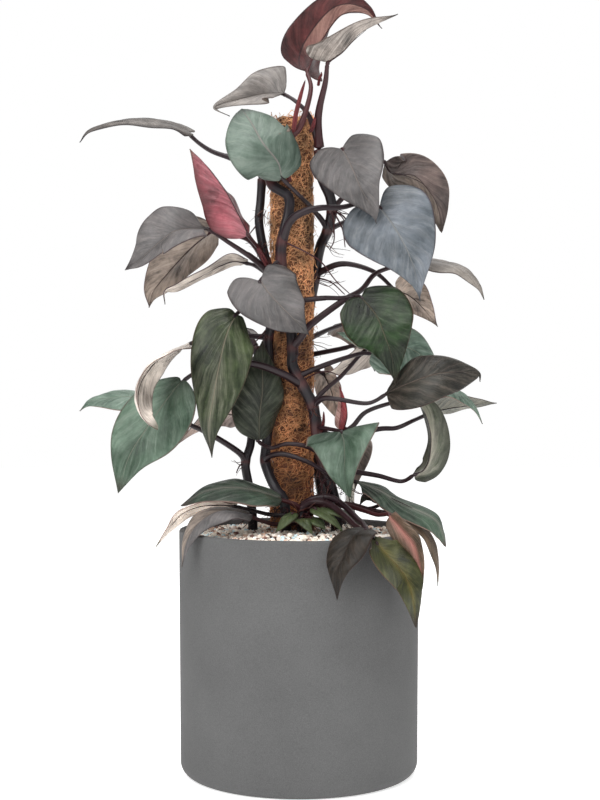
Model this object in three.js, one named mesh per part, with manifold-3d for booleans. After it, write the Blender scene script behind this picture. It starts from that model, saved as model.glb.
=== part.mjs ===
// Red-leaved climbing philodendron on a coir pole, in a cylindrical planter filled with mineral granulate.
// Millimetres, +Z up, origin at the middle of the pot's underside, the photographed side towards -Y.
import * as THREE from "three";
import { mergeVertices } from "three/addons/utils/BufferGeometryUtils.js";
import Module from "manifold-3d";

const wasm = await Module();
wasm.setup();

// Driving dimensions.
const pot = {
  height: 303, rimRadius: 150, footRadius: 134, footRound: 15, wall: 8.5, floor: 14, sides: 40,
};
const granulate = { top: 294, relief: 2.6, radius: 140.4, rings: 11, seed: 11 };
const rootBall = {
  centre: [-6, 26], topRadius: 84, footRadius: 70, foot: 130, top: 296, relief: 2.5, seed: 5,
};
const pole = {
  centre: [-9, 35], radius: 27.6, bore: 12, foot: 150, top: 824, relief: 1.7, fray: 7, seed: 23,
};
const core = { radius: 11.4, foot: 142, top: 806 };
const label = { size: [10, 1.2, 130], centre: [66, 44], top: 384 };
const bladeThickness = 1.1;
const fit = 0.4;

// Everything that grows is given as [across, depth, height] in the plane through the pot's axis, seen from
// the eye that took the picture: a point nearer to that eye than the plane is brought in by the same share.
const eye = { distance: 2000, height: 508 };

function place([across, depth, height]) {
  const share = 1 + depth / eye.distance;
  return new THREE.Vector3(across * share, depth, eye.height + (height - eye.height) * share);
}

// A repeatable stream of numbers from 0 to 1.
function drawFrom(seed) {
  let state = seed;
  return () => {
    state = (state * 16807) % 2147483647;
    return (state % 10000) / 10000;
  };
}

// A closed geometry from its corner points and triangles.
function meshOf(points, triangles) {
  const geometry = new THREE.BufferGeometry();
  const numbers = points.flatMap((point) => point.toArray());
  geometry.setAttribute("position", new THREE.Float32BufferAttribute(numbers, 3));
  geometry.setIndex(triangles.flat());
  return geometry;
}

function toSolid(geometry) {
  const bare = geometry.clone();
  bare.deleteAttribute("normal");
  bare.deleteAttribute("uv");
  const merged = mergeVertices(bare, 1e-3);
  return new wasm.Manifold(
    new wasm.Mesh({
      numProp: 3,
      vertProperties: new Float32Array(merged.attributes.position.array),
      triVerts: new Uint32Array(merged.index.array),
    }),
  );
}

function toGeometry(solid) {
  const mesh = solid.getMesh();
  const geometry = new THREE.BufferGeometry();
  geometry.setAttribute("position", new THREE.BufferAttribute(mesh.vertProperties, 3));
  geometry.setIndex(new THREE.BufferAttribute(mesh.triVerts, 1));
  return geometry;
}

function joined(solids) {
  return solids.reduce((whole, solid) => whole.add(solid));
}

// Frames along a curve that don't spin about it: each side is the last one turned square to the tangent.
function framesAlong(points, shares, side, reference) {
  const curve = new THREE.CatmullRomCurve3(points, false, "catmullrom", 0.5);
  const frames = shares.map((share) => {
    return { share, at: curve.getPoint(share), along: curve.getTangent(share), side: side.clone() };
  });
  const first = frames.reduce((best, frame, index) => {
    return Math.abs(frame.share - reference) < Math.abs(frames[best].share - reference) ? index : best;
  }, 0);
  const square = (frame, from) => {
    frame.side.copy(from).addScaledVector(frame.along, -from.dot(frame.along)).normalize();
    frame.up = frame.side.clone().cross(frame.along);
  };
  square(frames[first], side);
  for (let i = first + 1; i < frames.length; i += 1) {
    square(frames[i], frames[i - 1].side);
  }
  for (let i = first - 1; i >= 0; i -= 1) {
    square(frames[i], frames[i + 1].side);
  }
  return frames;
}

// A round stem or stalk: closed at both ends, its radius running from the first value to the last.
function stemGeometry(points, radii, sides, rings) {
  const shares = Array.from({ length: rings + 1 }, (_, i) => i / rings);
  const tangent = points[1].clone().sub(points[0]).normalize();
  const side = Math.abs(tangent.y) < 0.9 ? new THREE.Vector3(0, 1, 0) : new THREE.Vector3(1, 0, 0);
  const frames = framesAlong(points, shares, side, 0);
  const corners = [];
  const triangles = [];
  frames.forEach((frame) => {
    const radius = radii[0] + (radii[1] - radii[0]) * frame.share;
    for (let k = 0; k < sides; k += 1) {
      const turn = (2 * Math.PI * k) / sides;
      corners.push(
        frame.at.clone()
          .addScaledVector(frame.side, radius * Math.cos(turn))
          .addScaledVector(frame.up, -radius * Math.sin(turn)),
      );
    }
  });
  for (let i = 0; i < rings; i += 1) {
    for (let k = 0; k < sides; k += 1) {
      const a = i * sides + k;
      const b = i * sides + ((k + 1) % sides);
      triangles.push([a, b, b + sides], [a, b + sides, a + sides]);
    }
  }
  const lastRing = rings * sides;
  for (let k = 1; k < sides - 1; k += 1) {
    triangles.push([0, k + 1, k], [lastRing, lastRing + k, lastRing + k + 1]);
  }
  return meshOf(corners, triangles);
}

// Leaf blades. Each has its midrib from stalk to tip, its full width, the way its upper face looks, and
// fold: how far each half rises towards that face, in degrees, first the half on the face's left, seen from
// the stalk with the face up; curl bends a half further towards its edge; lobe is the depth of the heart
// lobes, the smaller the heel, the narrower the blade starts, and point draws its tip out.
const leafShape = {
  fold: [-8, -8], curl: 0, twist: 0, lobe: 12, heel: 0.05, widest: 0.25, point: 0.25, wave: 2, waves: 2.5,
  base: 0.4,
};

const leaves = {
  leaf_crown_maroon: {
    midrib: [[11, 5, 876], [24, 14, 907], [52, 26, 946], [83, 36, 949], [104, 40, 930]],
    width: 89, face: [0.1, 0.75, 0.6], fold: [70, 0], twist: 90, lobe: 0, heel: 0.03, widest: 0.22,
  },
  leaf_crown_folded: {
    midrib: [[36, -24, 888], [57, -42, 903], [81, -48, 927], [124, -30, 948]],
    width: 72, face: [-0.72, 0.09, 0.69], fold: [48, 40], twist: 24, heel: 0.184, widest: 0.15,
    point: 0,
  },
  leaf_upper_left_grey: {
    midrib: [[-19, 10, 848], [-41, 16, 848], [-70, 8, 842], [-105, 4, 831], [-87, 2, 820]],
    width: 82, face: [0.66, -0.67, 0.34], fold: [46, 3], twist: -53, lobe: 2, heel: 0.012, widest: 0.14,
    point: 0.2,
  },
  leaf_far_left_rolled: {
    midrib: [
      [-139, 6, 800], [-160, 4, 808], [-192, 4, 812], [-228, 2, 811], [-262, 0, 802], [-275, -2, 787],
    ],
    width: 56, face: [0, -0.15, 1], fold: [10, 10], lobe: 8,
  },
  leaf_front_round: {
    midrib: [[-22, -26, 745], [-27, -31, 763], [-45, -44, 786], [-60, -30, 812], [-72, -18, 829]],
    width: 91, face: [0.13, -0.97, 0.22], fold: [-18, -11], twist: 15, lobe: 5, heel: 0.005,
    widest: 0.47, point: 0.17,
  },
  leaf_left_young_red: {
    midrib: [[-63, -36, 671], [-76, -42, 697], [-92, -48, 726], [-117, -44, 759], [-137, -40, 779]],
    width: 90, face: [0.17, 0.99, -0.01], fold: [95, 23], twist: 9, lobe: 1, heel: 0.04, widest: 0.3,
  },
  leaf_left_drooping: {
    midrib: [[-113, -10, 679], [-151, -32, 677], [-172, -26, 664], [-195, -23, 644], [-218, -8, 627]],
    width: 80, face: [-0.37, -0.73, 0.57], fold: [18, 22], twist: -1, lobe: -10, heel: 0.005,
    widest: 0.43, point: 0.8,
  },
  leaf_left_brown_back: {
    midrib: [[-110, 26, 675], [-135, 26, 655], [-163, 22, 625], [-183, 16, 600], [-188, 10, 580]],
    width: 74, face: [-0.3, 0.85, 0.4], fold: [10, 25], lobe: 5,
  },
  leaf_left_pale_thin: {
    midrib: [
      [-66, 24, 637], [-90, 20, 637], [-118, 12, 622], [-150, 4, 606], [-168, 0, 600], [-168, 0, 584],
    ],
    width: 38, face: [-0.35, 0.3, 0.87], fold: [5, 5], lobe: 2, heel: 0.02,
  },
  leaf_centre_heart: {
    midrib: [[-48, -44, 613], [-36, -56, 596], [-13, -66, 572], [3, -64, 556], [13, -58, 545]],
    width: 90, face: [0.05, -0.85, 0.5], lobe: 20, heel: 0.1, widest: 0.15,
  },
  leaf_upper_right_grey: {
    midrib: [[54, -14, 779], [65, -36, 759], [77, -57, 731], [93, -55, 702], [97, -56, 685]],
    width: 94, face: [-0.35, -0.8, 0.49], fold: [-4, -4], twist: 15, lobe: 16, heel: 0.065,
    widest: 0.15, point: 0.32,
  },
  leaf_upper_right_brown: {
    midrib: [[107, 10, 762], [119, 5, 747], [145, -5, 745], [166, -7, 722], [175, 1, 702], [179, 2, 674]],
    width: 57, face: [0.22, 0.86, 0.45], fold: [13, 34], twist: -31, lobe: -1, heel: 0.118,
    widest: 0.46, point: 0.8,
  },
  leaf_right_blue_large: {
    midrib: [[101, -30, 706], [119, -42, 682], [137, -52, 649], [148, -58, 615], [152, -54, 587]],
    width: 118, face: [-0.1, -0.92, 0.35], lobe: 19, widest: 0.17,
  },
  leaf_right_pale_thin: {
    midrib: [[150, 14, 640], [180, 8, 636], [206, 4, 628], [226, 2, 608], [232, 4, 590]],
    width: 70, face: [0.2, -0.25, 0.93],
  },
  leaf_right_brown_back: {
    midrib: [[122, 44, 602], [140, 38, 594], [158, 32, 577], [174, 28, 556]],
    width: 54, face: [0.3, 0.8, 0.5], fold: [10, 10], lobe: 5,
  },
  leaf_right_green_cupped: {
    midrib: [[78, -34, 593], [97, -52, 570], [107, -66, 546], [116, -58, 520], [122, -56, 483]],
    width: 88, face: [-0.31, -0.92, 0.23], fold: [-8, 0], twist: 16, lobe: 7, heel: 0.037, widest: 0.26,
    point: 0.29,
  },
  leaf_right_small_back: {
    midrib: [[92, 16, 536], [78, 14, 541], [62, 12, 545], [46, 10, 549]],
    width: 34, face: [0, -0.6, 0.8], lobe: 3,
  },
  leaf_right_green_back: {
    midrib: [[92, -6, 524], [115, -6, 531], [140, -6, 528], [165, -2, 510], [182, 4, 492]],
    width: 78, face: [0, -0.85, 0.5], lobe: 8,
  },
  leaf_right_dark_arched: {
    midrib: [
      [109, -38, 472], [143, -70, 487], [175, -77, 497], [205, -63, 499], [225, -53, 497],
      [227, -52, 487],
    ],
    width: 69, face: [-0.38, -0.91, 0.18], fold: [-22, 9], twist: 17, lobe: -4, heel: 0.005,
    widest: 0.24, point: 0.72,
  },
  leaf_right_pale_low: {
    midrib: [[162, 20, 448], [190, 22, 454], [222, 22, 458], [248, 20, 460]],
    width: 60, face: [0, 0.4, 0.9], fold: [12, 12], lobe: 6,
  },
  leaf_right_green_point: {
    midrib: [[150, -2, 470], [172, -8, 476], [198, -14, 473], [220, -20, 455], [230, -20, 434]],
    width: 44, face: [0.2, -0.3, 0.93], lobe: 3, heel: 0.01,
  },
  leaf_right_curled: {
    midrib: [
      [146, -22, 370], [160, -28, 380], [166, -34, 406], [163, -38, 436], [152, -38, 460],
      [141, -36, 473],
    ],
    width: 52, face: [0.75, 0.6, 0.2], fold: [75, 35], lobe: 6, widest: 0.4, point: 0.4,
  },
  leaf_low_centre_sheen: {
    midrib: [[53, -40, 424], [57, -47, 407], [58, -71, 371], [63, -67, 346], [67, -67, 342]],
    width: 101, face: [0.05, -0.9, 0.44], fold: [46, -2], twist: 46, lobe: 0, heel: 0.035, widest: 0.12,
    point: 0.21,
  },
  leaf_right_young_red: {
    midrib: [[56, -4, 428], [60, -6, 446], [57, -6, 466], [50, -4, 483]],
    width: 30, face: [-0.9, -0.3, 0], fold: [55, 55], lobe: 2, wave: 0,
  },
  leaf_left_green_hanging: {
    midrib: [
      [-79, -44, 571], [-90, -62, 549], [-99, -72, 513], [-107, -76, 469], [-113, -74, 428],
      [-109, -66, 392],
    ],
    width: 80, face: [-0.1, -0.95, 0.25], fold: [-25, -8], twist: 50, lobe: 4, heel: 0.02, widest: 0.28,
    point: 0.3,
  },
  leaf_left_dark_upright: {
    midrib: [[-50, -16, 414], [-50, -17, 442], [-46, -20, 475], [-46, -17, 509], [-46, 0, 538]],
    width: 72, face: [0.47, -0.88, 0.01], fold: [-26, -15], twist: -24, lobe: 0, heel: 0.005,
    widest: 0.4, point: 0.75,
  },
  leaf_low_left_large: {
    midrib: [[-148, -30, 487], [-169, -38, 460], [-196, -45, 421], [-214, -55, 391], [-227, -55, 347]],
    width: 99, face: [0.05, -0.67, 0.74], fold: [-1, -7], twist: -43, lobe: 4, heel: 0.005,
    widest: 0.31, point: 0.15,
  },
  leaf_left_pale_arching: {
    midrib: [
      [-135, -12, 537], [-168, -42, 520], [-192, -67, 499], [-204, -98, 465], [-196, -109, 442],
      [-177, -110, 427],
    ],
    width: 59, face: [-0.88, 0.22, 0.43], fold: [-18, -27], twist: 95, lobe: -7, heel: 0.005,
    widest: 0.5, point: 0.58,
  },
  leaf_far_left_small: {
    midrib: [[-187, 4, 462], [-212, 4, 468], [-240, 2, 466], [-262, 0, 462], [-275, 0, 450]],
    width: 56, face: [0, -0.45, 0.9], heel: 0.02,
  },
  leaf_left_brown_low: {
    midrib: [[-74, 24, 445], [-98, 28, 446], [-125, 30, 434], [-154, 30, 407]],
    width: 60, face: [-0.1, 0.45, 0.9], lobe: 5, heel: 0.02,
  },
  leaf_rim_left_green: {
    midrib: [[-24, -34, 341], [-50, -44, 349], [-82, -52, 354], [-118, -54, 349], [-148, -48, 331]],
    width: 62, face: [0, -0.42, 0.9], lobe: 2, heel: 0.005, widest: 0.4, point: 0.4,
  },
  leaf_rim_left_pale: {
    midrib: [[-80, -14, 332], [-118, -12, 332], [-146, -10, 322], [-164, -8, 302], [-180, -6, 279]],
    width: 36, face: [-0.5, 0.5, 0.7], lobe: 4,
  },
  leaf_rim_left_grey: {
    midrib: [[-63, -46, 321], [-97, -66, 325], [-124, -86, 311], [-141, -100, 286], [-147, -104, 254]],
    width: 44, face: [-0.3, -0.6, 0.75], lobe: 3, heel: 0.01, point: 0.3,
  },
  leaf_rim_front_dark: {
    midrib: [[84, -132, 301], [68, -156, 292], [56, -166, 267], [48, -176, 246], [48, -170, 213]],
    width: 50, face: [0.19, -0.55, 0.81], fold: [28, -28], twist: -5, lobe: 2, heel: 0.051,
    widest: 0.31, point: 0.55,
  },
  leaf_rim_right_olive: {
    midrib: [[98, -152, 284], [111, -155, 269], [132, -128, 244], [142, -129, 218], [147, -104, 178]],
    width: 48, face: [0.42, -0.89, 0.2], fold: [3, 9], twist: 30, lobe: 8, heel: 0.005, widest: 0.36,
    point: 0.36,
  },
  leaf_rim_right_pink: {
    midrib: [[112, -85, 321], [131, -108, 299], [144, -111, 282], [151, -112, 259], [156, -110, 234]],
    width: 35, face: [0.39, -0.88, -0.26], fold: [64, -21], twist: 17, lobe: -5, heel: 0.005,
    widest: 0.35, point: 0.26,
  },
  leaf_rim_right_brown: {
    midrib: [[128, -20, 318], [148, -26, 311], [166, -30, 288], [174, -34, 258], [174, -34, 230]],
    width: 40, face: [0.7, -0.3, 0.6], lobe: 3,
  },
  leaf_low_right_green: {
    midrib: [
      [70, -22, 363], [102, -25, 350], [124, -27, 336], [168, -37, 316], [180, -35, 297], [184, -32, 280],
    ],
    width: 45, face: [0.56, -0.58, 0.59], fold: [-19, -12], twist: 4, lobe: -10, heel: 0.103,
    widest: 0.49, point: 0.74,
  },
  leaf_rim_right_small: {
    midrib: [[100, -2, 340], [91, -4, 345], [82, -6, 342], [76, -8, 332]],
    width: 22, face: [0, -0.6, 0.8], lobe: 2, wave: 0,
  },
  leaf_pole_right_pale: {
    midrib: [[90, 30, 527], [74, 32, 517], [54, 32, 504], [33, 32, 496]],
    width: 44, face: [0, 0.6, 0.8], lobe: 3,
  },
  leaf_pole_right_brown: {
    midrib: [[32, 82, 496], [40, 80, 478], [46, 74, 456], [50, 70, 436]],
    width: 50, face: [0.5, 0.6, 0.4],
  },
  leaf_back_upper: {
    midrib: [[-52, 66, 785], [-52, 90, 800], [-46, 120, 798], [-36, 145, 775], [-30, 155, 752]],
    width: 66, face: [0, 0.6, 0.8], lobe: 6,
  },
  leaf_back_right_upper: {
    midrib: [[80, 80, 690], [98, 105, 690], [113, 130, 668], [122, 145, 634]],
    width: 90, face: [0.2, 0.7, 0.65],
  },
  leaf_back_centre: {
    midrib: [[-10, 105, 640], [-14, 130, 640], [-12, 150, 612], [-8, 158, 575]],
    width: 66, face: [0, 0.85, 0.5],
  },
  leaf_back_right_middle: {
    midrib: [[60, 110, 562], [76, 134, 560], [88, 154, 535], [95, 164, 500]],
    width: 84, face: [0.2, 0.8, 0.55],
  },
  leaf_back_left: {
    midrib: [[-78, 76, 556], [-92, 100, 555], [-100, 124, 530], [-102, 136, 495]],
    width: 84, face: [-0.2, 0.8, 0.55],
  },
  leaf_back_low_left: {
    midrib: [[-66, 84, 465], [-60, 110, 470], [-48, 138, 450], [-40, 150, 412]],
    width: 80, face: [0.1, 0.8, 0.6],
  },
  leaf_back_low_right: {
    midrib: [[45, 110, 405], [58, 132, 408], [68, 154, 385], [70, 166, 350]],
    width: 78, face: [0.1, 0.8, 0.6],
  },
};

const bladeRows = [0, 0.1, 0.25, 0.42, 0.6, 0.78, 0.91, 1];
const bladeColumns = [-1, -0.5, 0, 0.5, 1];

// Half width of a blade at a share of its length, as a share of its greatest half width.
function outline(share, { widest, heel, point }) {
  const rise = 0.48;
  const fall = (rise * (1 - widest)) / (widest + heel);
  const drawnOut = 1 - point * Math.max(0, 2 * share - 1) ** 1.5;
  return drawnOut * ((share + heel) / (widest + heel)) ** rise * ((1 - share) / (1 - widest)) ** fall;
}

// The middle surface of a blade: rows of points with the normal of the upper face at each.
function bladeSurface(leaf) {
  const spec = { ...leafShape, ...leaf };
  const face = new THREE.Vector3(...spec.face).normalize();
  const points = spec.midrib.map(place);
  const curve = new THREE.CatmullRomCurve3(points, false, "catmullrom", 0.5);
  const side = curve.getTangent(spec.base).cross(face);
  const frames = framesAlong(points, bladeRows, side, spec.base);
  return frames.map((frame) => {
    const twist = THREE.MathUtils.degToRad(spec.twist * (frame.share - spec.base));
    const across = frame.side.clone().applyAxisAngle(frame.along, twist);
    const up = across.clone().cross(frame.along);
    const half = (spec.width / 2) * outline(frame.share, spec);
    const back = spec.lobe * Math.max(0, 1 - frame.share / 0.5) ** 2;
    return bladeColumns.map((column) => {
      const reach = Math.abs(column);
      const hand = Math.sign(column);
      const fold = THREE.MathUtils.degToRad(spec.fold[column < 0 ? 0 : 1] + spec.curl * reach);
      const ripple = spec.wave * reach ** 2 * Math.sin(2 * Math.PI * spec.waves * frame.share + hand);
      const turn = column === 0 ? 0 : fold;
      const normal = up.clone()
        .multiplyScalar(Math.cos(turn))
        .addScaledVector(across, -hand * Math.sin(turn));
      const at = frame.at.clone()
        .addScaledVector(across, column * half * Math.cos(fold))
        .addScaledVector(up, reach * half * Math.sin(fold))
        .addScaledVector(frame.along, -back * Math.sin(0.75 * Math.PI * reach))
        .addScaledVector(normal, ripple * (1 - frame.share));
      return { at, normal };
    });
  });
}

// A blade as a closed thin solid: both faces are split alike, and a narrow edge joins them.
function bladeGeometry(leaf) {
  const surface = bladeSurface(leaf);
  const last = surface.length - 1;
  const width = bladeColumns.length;
  const corners = [];
  const triangles = [];
  const index = (row, column) => (row === last ? last * width : row * width + column);
  [1, -1].forEach((way) => {
    surface.forEach((row, i) => {
      row.slice(0, i === last ? 1 : width).forEach(({ at }, j) => {
        const { normal } = i === last ? row[2] : row[j];
        corners.push(at.clone().addScaledVector(normal, (way * bladeThickness) / 2));
      });
    });
  });
  const under = corners.length / 2;
  const add = (a, b, c, way) => {
    const shift = way > 0 ? 0 : under;
    triangles.push(way > 0 ? [a, b, c] : [c + shift, b + shift, a + shift]);
  };
  [1, -1].forEach((way) => {
    for (let i = 0; i < last; i += 1) {
      for (let j = 0; j < width - 1; j += 1) {
        add(index(i, j), index(i, j + 1), index(i + 1, j + 1), way);
        if (i < last - 1) {
          add(index(i, j), index(i + 1, j + 1), index(i + 1, j), way);
        }
      }
    }
  });
  const rim = [];
  for (let j = 0; j < width; j += 1) {
    rim.push(index(0, j));
  }
  for (let i = 1; i <= last; i += 1) {
    rim.push(index(i, width - 1));
  }
  for (let i = last - 1; i > 0; i -= 1) {
    rim.push(index(i, 0));
  }
  rim.forEach((a, k) => {
    const b = rim[(k + 1) % rim.length];
    triangles.push([b, a, a + under], [b, a + under, b + under]);
  });
  return meshOf(corners, triangles);
}

// Where a stalk ends: against the underside of its blade, at the base of the midrib.
function stalkEnd(leaf, radius) {
  const { at, normal } = bladeSurface(leaf)[0][2];
  const midrib = leaf.midrib.map(place);
  const along = midrib[1].clone().sub(midrib[0]).normalize();
  return at.clone()
    .addScaledVector(normal, -(bladeThickness / 2 + radius + 1))
    .addScaledVector(along, -radius - 0.5);
}

// Climbing stems, from below the soil upwards, with the stalks that leave them and a few aerial roots.
const stalkSides = 5;
const stemSides = 7;
const stalk = { radius: 4, tip: 2.4 };

const stems = {
  stem_front: {
    colour: 0x2e2329,
    radii: [7.6, 6.2],
    path: [
      [48, 10, 262], [46, 8, 326], [41, 5, 351], [33, 3, 376], [24, 1, 414], [20, -1, 445],
      [15, -3, 463], [3, -7, 485], [-8, -8, 507], [-8, -7, 524], [-10, -6, 552], [-18, -6, 589],
      [-23, -6, 645], [-19, -8, 675], [-13, -7, 700], [-14, -7, 720], [-34, -4, 735], [-36, 0, 759],
      [-24, -4, 783], [-10, -8, 799],
    ],
    stalks: [
      { leaf: "leaf_crown_maroon", radius: 5,
        path: [[-10, -8, 797], [0, -12, 806], [9, -12, 828], [15, -8, 856]] },
      { leaf: "leaf_far_left_rolled", radius: 4.5,
        path: [[-34, -4, 737], [-55, 0, 755], [-87, 4, 768], [-109, 6, 776], [-125, 6, 786]] },
      { leaf: "leaf_right_blue_large", radius: 6,
        path: [
          [-21, -7, 664], [-12, -18, 687], [4, -25, 699], [26, -24, 705], [54, -14, 706],
          [78, -12, 711],
        ] },
      { leaf: "leaf_centre_heart", path: [[-23, -6, 640], [-34, -18, 630]] },
      { leaf: "leaf_right_green_cupped",
        path: [[-18, -6, 586], [2, -13, 589], [30, -16, 592], [52, -16, 592], [68, -18, 594]] },
      { leaf: "leaf_right_pale_thin", radius: 5.5,
        path: [
          [-9, -7, 530], [2, -14, 543], [15, -18, 559], [54, -14, 588], [78, -8, 602], [94, 0, 621],
          [114, 8, 630],
        ] },
      { leaf: "leaf_right_green_back",
        path: [[-1, -8, 494], [22, -12, 504], [49, -12, 514], [76, -8, 522]] },
      { leaf: "leaf_low_left_large", radius: 5.5,
        path: [[3, -7, 484], [-23, -22, 498], [-60, -36, 510], [-99, -42, 507], [-128, -42, 499]] },
      { leaf: "leaf_right_small_back", radius: 3.4,
        path: [[16, -3, 458], [32, -6, 476], [54, 0, 495], [78, 8, 522]] },
      { leaf: "leaf_right_dark_arched",
        path: [[17, -3, 456], [30, -14, 466], [49, -22, 465], [86, -28, 460]] },
      { leaf: "leaf_low_centre_sheen", radius: 3.4, path: [[21, 0, 430], [36, -18, 428]] },
      { leaf: "leaf_right_young_red", radius: 3, path: [[23, 1, 420], [38, -2, 416]] },
      { leaf: "leaf_right_green_point",
        path: [[22, 0, 426], [45, -2, 420], [66, -6, 430], [84, -8, 449], [118, -6, 461]] },
      { leaf: "leaf_right_pale_low", radius: 4.2,
        path: [[24, 1, 412], [45, 4, 412], [97, 4, 427], [122, 4, 429], [143, 4, 438]] },
      { leaf: "leaf_right_curled", radius: 4.5,
        path: [[32, 3, 380], [50, 0, 378], [71, -8, 374], [100, -12, 369], [128, -14, 362]] },
      { leaf: "leaf_left_dark_upright", radius: 3.6,
        path: [[28, 2, 396], [9, -12, 406], [-16, -12, 409], [-36, -5, 404]] },
    ],
    roots: [
      [[-17, -8, 662], [8, -20, 650], [28, -24, 637], [46, -24, 614], [64, -22, 597]],
      [[3, -6, 488], [30, -10, 500], [54, -12, 494]],
    ],
  },
  stem_left: {
    colour: 0x2b2228,
    radii: [6.8, 5.6],
    path: [
      [-15, -6, 262], [-18, -6, 332], [-28, -3, 351], [-36, 4, 367], [-42, 11, 386], [-41, 11, 407],
      [-39, 10, 426], [-36, 8, 489], [-39, 10, 537], [-36, 8, 557], [-39, 10, 589], [-39, 10, 627],
      [-44, 17, 650], [-50, 25, 686], [-48, 31, 715], [-46, 33, 743],
    ],
    stalks: [
      { leaf: "leaf_left_young_red", radius: 3.4, path: [[-39, 10, 630], [-46, 2, 648]] },
      { leaf: "leaf_left_drooping", radius: 4.2,
        path: [[-39, 10, 625], [-60, -6, 643], [-90, -13, 663]] },
      { leaf: "leaf_left_brown_back", path: [[-41, 13, 634], [-62, 16, 664], [-90, 18, 672]] },
      { leaf: "leaf_left_pale_thin", radius: 3.4, path: [[-39, 10, 622], [-54, 14, 632]] },
      { leaf: "leaf_left_green_hanging", radius: 3.4, path: [[-39, 10, 589], [-58, -10, 588]] },
      { leaf: "leaf_left_pale_arching", radius: 3.8,
        path: [[-38, 9, 543], [-74, 12, 545], [-112, 8, 543]] },
      { leaf: "leaf_low_right_green", radius: 4.4,
        path: [[-42, 11, 388], [-36, -4, 394], [-18, -12, 396], [14, -18, 385], [45, -20, 366]] },
      { leaf: "leaf_back_upper", path: [[-46, 33, 741], [-54, 50, 765]] },
    ],
    roots: [
      [[-50, 25, 686], [-56, 20, 680], [-63, 14, 671]],
      [[-38, 9, 556], [-50, 0, 542], [-59, -6, 533]],
    ],
  },
  stem_outer_left: {
    colour: 0x33292c,
    radii: [6.4, 4.6],
    path: [
      [-56, 14, 262], [-59, 12, 323], [-63, 10, 357], [-67, 10, 384], [-61, 12, 407], [-59, 16, 426],
      [-54, 28, 464], [-51, 40, 501], [-54, 48, 533],
    ],
    stalks: [
      { leaf: "leaf_far_left_small", radius: 4.6,
        path: [[-66, 10, 386], [-76, 6, 399], [-109, 0, 420], [-137, -2, 433], [-164, 0, 446]] },
      { leaf: "leaf_left_brown_low", radius: 3.4, path: [[-59, 16, 426], [-66, 18, 436]] },
      { leaf: "leaf_back_low_left", radius: 3.6, path: [[-53, 31, 472], [-62, 56, 470]] },
      { leaf: "leaf_back_left", radius: 3.8, path: [[-54, 47, 530], [-64, 60, 548]] },
    ],
    roots: [[[-66, 10, 384], [-74, 6, 382], [-79, 4, 372]]],
  },
  stem_right: {
    colour: 0x37232b,
    radii: [7.2, 6.6],
    path: [
      [33, 58, 262], [31, 60, 326], [26, 62, 364], [16, 68, 414], [8, 72, 477], [10, 71, 552],
      [19, 64, 614], [26, 52, 654], [35, 37, 675], [41, 28, 700], [39, 22, 719], [29, 14, 744],
      [25, 10, 780],
    ],
    stalks: [
      { leaf: "leaf_crown_folded", radius: 6.4, path: [[25, 10, 778], [24, 2, 820], [33, -12, 862]] },
      { leaf: "leaf_upper_left_grey", radius: 3.6, path: [[25, 10, 778], [14, 2, 818], [-2, 4, 837]] },
      { leaf: "leaf_upper_right_grey", path: [[28, 13, 748], [42, 2, 766]] },
      { leaf: "leaf_upper_right_brown", path: [[41, 28, 702], [58, 20, 721], [83, 16, 743]] },
      { leaf: "leaf_front_round", radius: 3.8,
        path: [[36, 36, 677], [28, 20, 690], [15, 2, 706], [2, -14, 719]] },
      { leaf: "leaf_right_brown_back", radius: 4.6,
        path: [[20, 62, 622], [54, 46, 635], [94, 40, 625]] },
      { leaf: "leaf_pole_right_pale", radius: 3.4, path: [[9, 71, 520], [50, 58, 528], [84, 40, 535]] },
      { leaf: "leaf_pole_right_brown", radius: 3, path: [[8, 72, 490], [20, 80, 500]] },
      { leaf: "leaf_back_right_upper", path: [[36, 36, 677], [60, 58, 688]] },
      { leaf: "leaf_back_centre", path: [[19, 64, 616], [4, 88, 632]] },
      { leaf: "leaf_back_right_middle", path: [[10, 71, 540], [36, 94, 552]] },
      { leaf: "leaf_back_low_right", path: [[13, 69, 430], [28, 94, 412]] },
    ],
    roots: [
      [[41, 26, 704], [43, 14, 690], [44, 6, 665], [38, 2, 652]],
      [[41, 26, 704], [54, 14, 680], [58, 8, 655]],
      [[41, 26, 704], [58, 20, 692], [64, 14, 672], [72, 12, 656]],
      [[20, 62, 618], [40, 40, 612], [58, 30, 596]],
    ],
  },
  basal_stems: {
    colour: 0x3a1c22,
    radii: [8, 6.5],
    path: [[6, -12, 262], [4, -16, 312], [4, -18, 332]],
    stalks: [
      { leaf: "leaf_rim_left_green", radius: 4.6, path: [[3, -18, 326], [-8, -26, 334]] },
      { leaf: "leaf_rim_left_pale", radius: 3,
        path: [[2, -18, 318], [-34, -20, 320], [-60, -16, 326]] },
      { leaf: "leaf_rim_left_grey", radius: 3.2,
        path: [[3, -16, 310], [-28, -28, 308], [-48, -38, 313]] },
      { leaf: "leaf_rim_front_dark", radius: 5, tip: 3.4,
        path: [
          [4, -18, 331], [18, -20, 340], [39, -26, 342], [58, -46, 330], [72, -76, 316],
          [81, -106, 308],
        ] },
      { leaf: "leaf_rim_right_olive", radius: 5.2, tip: 3.4,
        path: [
          [4, -18, 328], [16, -26, 336], [36, -38, 334], [56, -66, 320], [75, -104, 303],
          [90, -124, 296],
        ] },
      { leaf: "leaf_rim_right_pink", radius: 3.8,
        path: [[4, -18, 326], [28, -20, 332], [56, -24, 332], [79, -44, 326], [98, -68, 320]] },
      { leaf: "leaf_rim_right_brown", radius: 3.2,
        path: [[28, -20, 331], [60, -12, 334], [92, -12, 326], [114, -16, 322]] },
      { leaf: "leaf_rim_right_small", radius: 2.6,
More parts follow.
